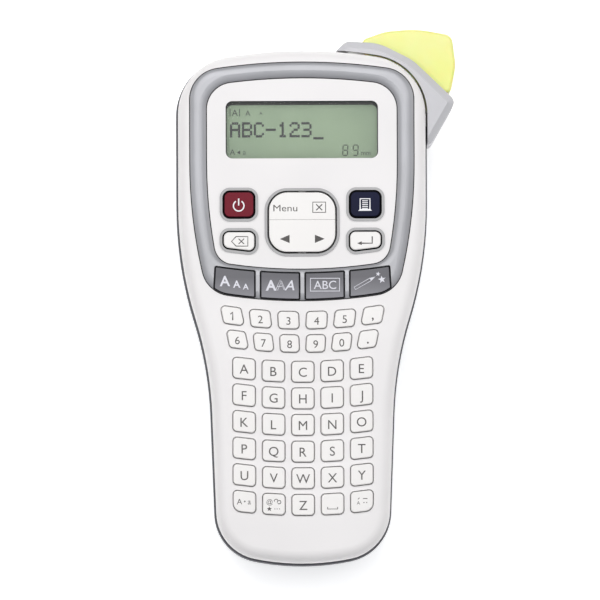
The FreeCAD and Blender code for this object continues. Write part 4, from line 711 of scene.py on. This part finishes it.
# screen-printed ink under the lens: a dark edge that frames the glass, widened at the top as a painted shadow
lensMaskAndShadowInk = grainedSurface("black printed window border and painted shadow", ("#131613", "#1B1E1A"), size=0.3, depth=0.002,
                         roughness=(0.4, 0.5))
dotLetters = {
    "A": ("01110", "10001", "10001", "11111", "10001", "10001", "10001"),
    "B": ("11110", "10001", "10001", "11110", "10001", "10001", "11110"),
    "C": ("01110", "10001", "10000", "10000", "10000", "10001", "01110"),
    "-": ("00000", "00000", "00000", "11111", "00000", "00000", "00000"),
    "1": ("00100", "01100", "00100", "00100", "00100", "00100", "01110"),
    "2": ("01110", "10001", "00001", "00110", "01000", "10000", "11111"),
    "3": ("11110", "00001", "00001", "01110", "00001", "00001", "11110"),
    "_": ("00000", "00000", "00000", "00000", "00000", "00000", "00000", "11111"),
}
display = {"text": "ABC-123_", "left": -28.6, "top": 73.5, "pitch": 4.75, "dot": (0.8, 0.857), "fill": 1.12}
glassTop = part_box("lcd_module")[1].z / mm
dotWidth, dotHeight = display["dot"]
dotSize = [dotWidth * display["fill"], dotHeight * display["fill"]]
parts = []
for place, letter in enumerate(display["text"]):
    for row, line in enumerate(dotLetters[letter]):
        for column, lit in enumerate(line):
            if lit == "1":
                dotX = display["left"] + place * display["pitch"] + (column + 0.5) * dotWidth
                dotY = display["top"] - (row + 0.5) * dotHeight
                parts.append(fillInk(boxPoints(dotX, dotY, *dotSize)))
addPiece("display_text", joined(parts, glassTop + ink["thickness"] / 2), segmentInk, "casing")

# size marks above, case mark below, label length in seven-segment figures at the right
figure = {"width": 1.9, "height": 4.1, "bar": 0.4, "lean": 0.05, "trim": 0.1}
segmentEnds = {"a": ((0, 1), (1, 1)), "b": ((1, 1), (1, 0.5)), "c": ((1, 0.5), (1, 0)), "d": ((0, 0), (1, 0)),
               "e": ((0, 0.5), (0, 0)), "f": ((0, 1), (0, 0.5)), "g": ((0, 0.5), (1, 0.5))}


def sevenSegments(lit, x, y):
    lines = []
    for letter in lit:
        points = [(x + figure["width"] * u + figure["lean"] * v * figure["height"], y + v * figure["height"])
                  for u, v in segmentEnds[letter]]
        (ax, ay), (bx, by) = points
        dx, dy = (bx - ax) * figure["trim"], (by - ay) * figure["trim"]
        lines.append(([(ax + dx, ay + dy), (bx - dx, by - dy)], False))
    return strokeInk(lines, figure["bar"])


# letters are text, x, y and height; figures are their lit segments, x and y
displayMarks = {
    "letters": (("A", -26.7, 77.4, 2.6), ("A", -21.5, 77.2, 2.2), ("A", -16.3, 77.2, 1.4),
                ("A", -27.7, 61.7, 2.3), ("a", -22.9, 61.7, 2.3), ("mm", 25.6, 61.2, 1.9)),
    "bars": (((-28.6, 75.9), (-28.6, 78.9)), ((-24.8, 75.9), (-24.8, 78.9))), "stroke": 0.3,
    "arrow": ((-25.9, 61.5), (-24.6, 62.3), (-24.6, 60.7)),
    "figures": (("abcdefg", 16.3, 60.2), ("abcdfg", 20.4, 60.2)),
}
parts = [letterInk(*mark) for mark in displayMarks["letters"]]
parts.append(strokeInk([(bar, False) for bar in displayMarks["bars"]], displayMarks["stroke"]))
parts.append(fillInk(displayMarks["arrow"]))
parts += [sevenSegments(*mark) for mark in displayMarks["figures"]]
addPiece("display_marks", joined(parts, glassTop + ink["thickness"] / 2), markInk, "casing")

# printed border round the glass that runs on under the window's edge; its wider top is painted shadow of that
# edge
windowBorderAndShadow = {"window": (60.8, 22.9), "middle": 70.4, "corner": 2.7, "innerCorner": 2.3, "left": 0.45,
              "right": 0.35, "top": 1.5, "bottom": 0.2, "under": 1.5, "rise": 0.06}
width, height = windowBorderAndShadow["window"]
sideways = (windowBorderAndShadow["left"] - windowBorderAndShadow["right"]) / 2
lengthways = windowBorderAndShadow["middle"] + (windowBorderAndShadow["bottom"] - windowBorderAndShadow["top"]) / 2
outer = roundedBox(0, windowBorderAndShadow["middle"], width + 2 * windowBorderAndShadow["under"], height + 2 * windowBorderAndShadow["under"],
                   windowBorderAndShadow["corner"])
inner = roundedBox(sideways, lengthways, width - windowBorderAndShadow["left"] - windowBorderAndShadow["right"],
                   height - windowBorderAndShadow["top"] - windowBorderAndShadow["bottom"], windowBorderAndShadow["innerCorner"])
border = joined([frameInk(outer, inner)], glassTop + windowBorderAndShadow["rise"])
addPiece("window_border_and_shadow", border, lensMaskAndShadowInk, "casing")
print("display written")


# moulded ribs on the back cover, for the thumb that pushes it off; they stand in the finger arch, seat mm up

coverRibs = {"count": 6, "pitch": 2.6, "first": -40.0, "length": 26.0, "width": 1.1, "height": 0.55,
             "round": 0.25, "seat": 7.0, "edgeSteps": 3}
ribSize = Vector((coverRibs["length"], coverRibs["width"], 2 * coverRibs["height"])) * mm
bm = bmesh.new()
for step in range(coverRibs["count"]):
    rib = bmesh.ops.create_cube(bm, size=1.0)["verts"]
    place = Vector((0, coverRibs["first"] - step * coverRibs["pitch"], coverRibs["seat"])) * mm
    bmesh.ops.scale(bm, verts=rib, vec=ribSize)
    bmesh.ops.translate(bm, verts=rib, vec=place)
ribs = addPiece("cover_ribs", meshOf(bm, "cover_ribs"), absGrey, "cover")
bevel = ribs.modifiers.new("rounded", "BEVEL")
bevel.width = coverRibs["round"] * mm
bevel.segments = coverRibs["edgeSteps"]
print("back cover ribs made")


# floor, lights and world

# white acrylic sheet lit from below: a clean table top without a horizon, only faintly shaded by the piece
def tableTop():
    shader = {"IOR": 1.45, "Specular IOR Level": 0.2, "Emission Color": "#FFFFFF", "Emission Strength": 0.5}
    material, tree, bsdf = newMaterial("lit white acrylic sheet", shader)
    addGrain(tree, bsdf, {"size": 1.5, "drift": 200, "bump": 0.05, "depth": 0.01,
                          "roughness": (0.75, 0.85), "colours": ("#FBFBFB", "#FEFEFE")})
    return material


# a sheet 6 m across, a hair below the flat back so that the two never share a plane
floor = {"half": 3.0, "height": -0.2 * mm}
bm = bmesh.new()
corners = [bm.verts.new((sideX * floor["half"], sideY * floor["half"], floor["height"]))
           for sideX, sideY in ((-1, -1), (1, -1), (1, 1), (-1, 1))]
bm.faces.new(corners)
floorMesh = meshOf(bm, "table_top")
floorMesh.materials.append(tableTop())
table = bpy.data.objects.new("table_top", floorMesh)
bpy.context.scene.collection.objects.link(table)

# the studio's walls are darker than its ceiling, so the white shell's rounded edge reads against the table
studio = {"colour": "#F4F6FA", "heights": (0.25, 0.7), "glow": (0.02, 0.68)}
world = bpy.data.worlds.new("studio")
bpy.context.scene.world = world
world.use_nodes = True
sky = world.node_tree.nodes["Background"]
sky.inputs["Color"].default_value = linear(studio["colour"])
way = addNode(world.node_tree, "ShaderNodeTexCoord")
climb = addNode(world.node_tree, "ShaderNodeSeparateXYZ", {}, {"Vector": way.outputs["Generated"]})
glow = addNode(world.node_tree, "ShaderNodeMapRange",
               {"From Min": studio["heights"][0], "From Max": studio["heights"][1],
                "To Min": studio["glow"][0], "To Max": studio["glow"][1]}, {"Value": climb.outputs["Z"]})
world.node_tree.links.new(glow.outputs["Result"], sky.inputs["Strength"])

# square softboxes that face a point inside the casing; places and sizes in mm
lamps = {
    "overhead_softbox": {"place": (-80, 420, 1150), "size": 1000, "power": 8.5, "colour": "#FFFFFF"},
    "left_softbox": {"place": (-900, 150, 500), "size": 500, "power": 0.7, "colour": "#FFFDFA"},
    "right_softbox": {"place": (900, 250, 500), "size": 500, "power": 1.0, "colour": "#FFFEFC"},
}
lampTarget = Vector((0, 0, 30)) * mm
for name, lamp in lamps.items():
    light = bpy.data.lights.new(name, "AREA")
    light.shape = "SQUARE"
    light.size = lamp["size"] * mm
    light.energy = lamp["power"]
    light.color = linear(lamp["colour"])[:3]
    holder = bpy.data.objects.new(name, light)
    bpy.context.scene.collection.objects.link(holder)
    holder.location = Vector(lamp["place"]) * mm
    holder.rotation_mode = "QUATERNION"
    holder.rotation_quaternion = (lampTarget - holder.location).to_track_quat("-Z", "Y")
bpy.context.scene.view_settings.view_transform = "Standard"
print("studio set")
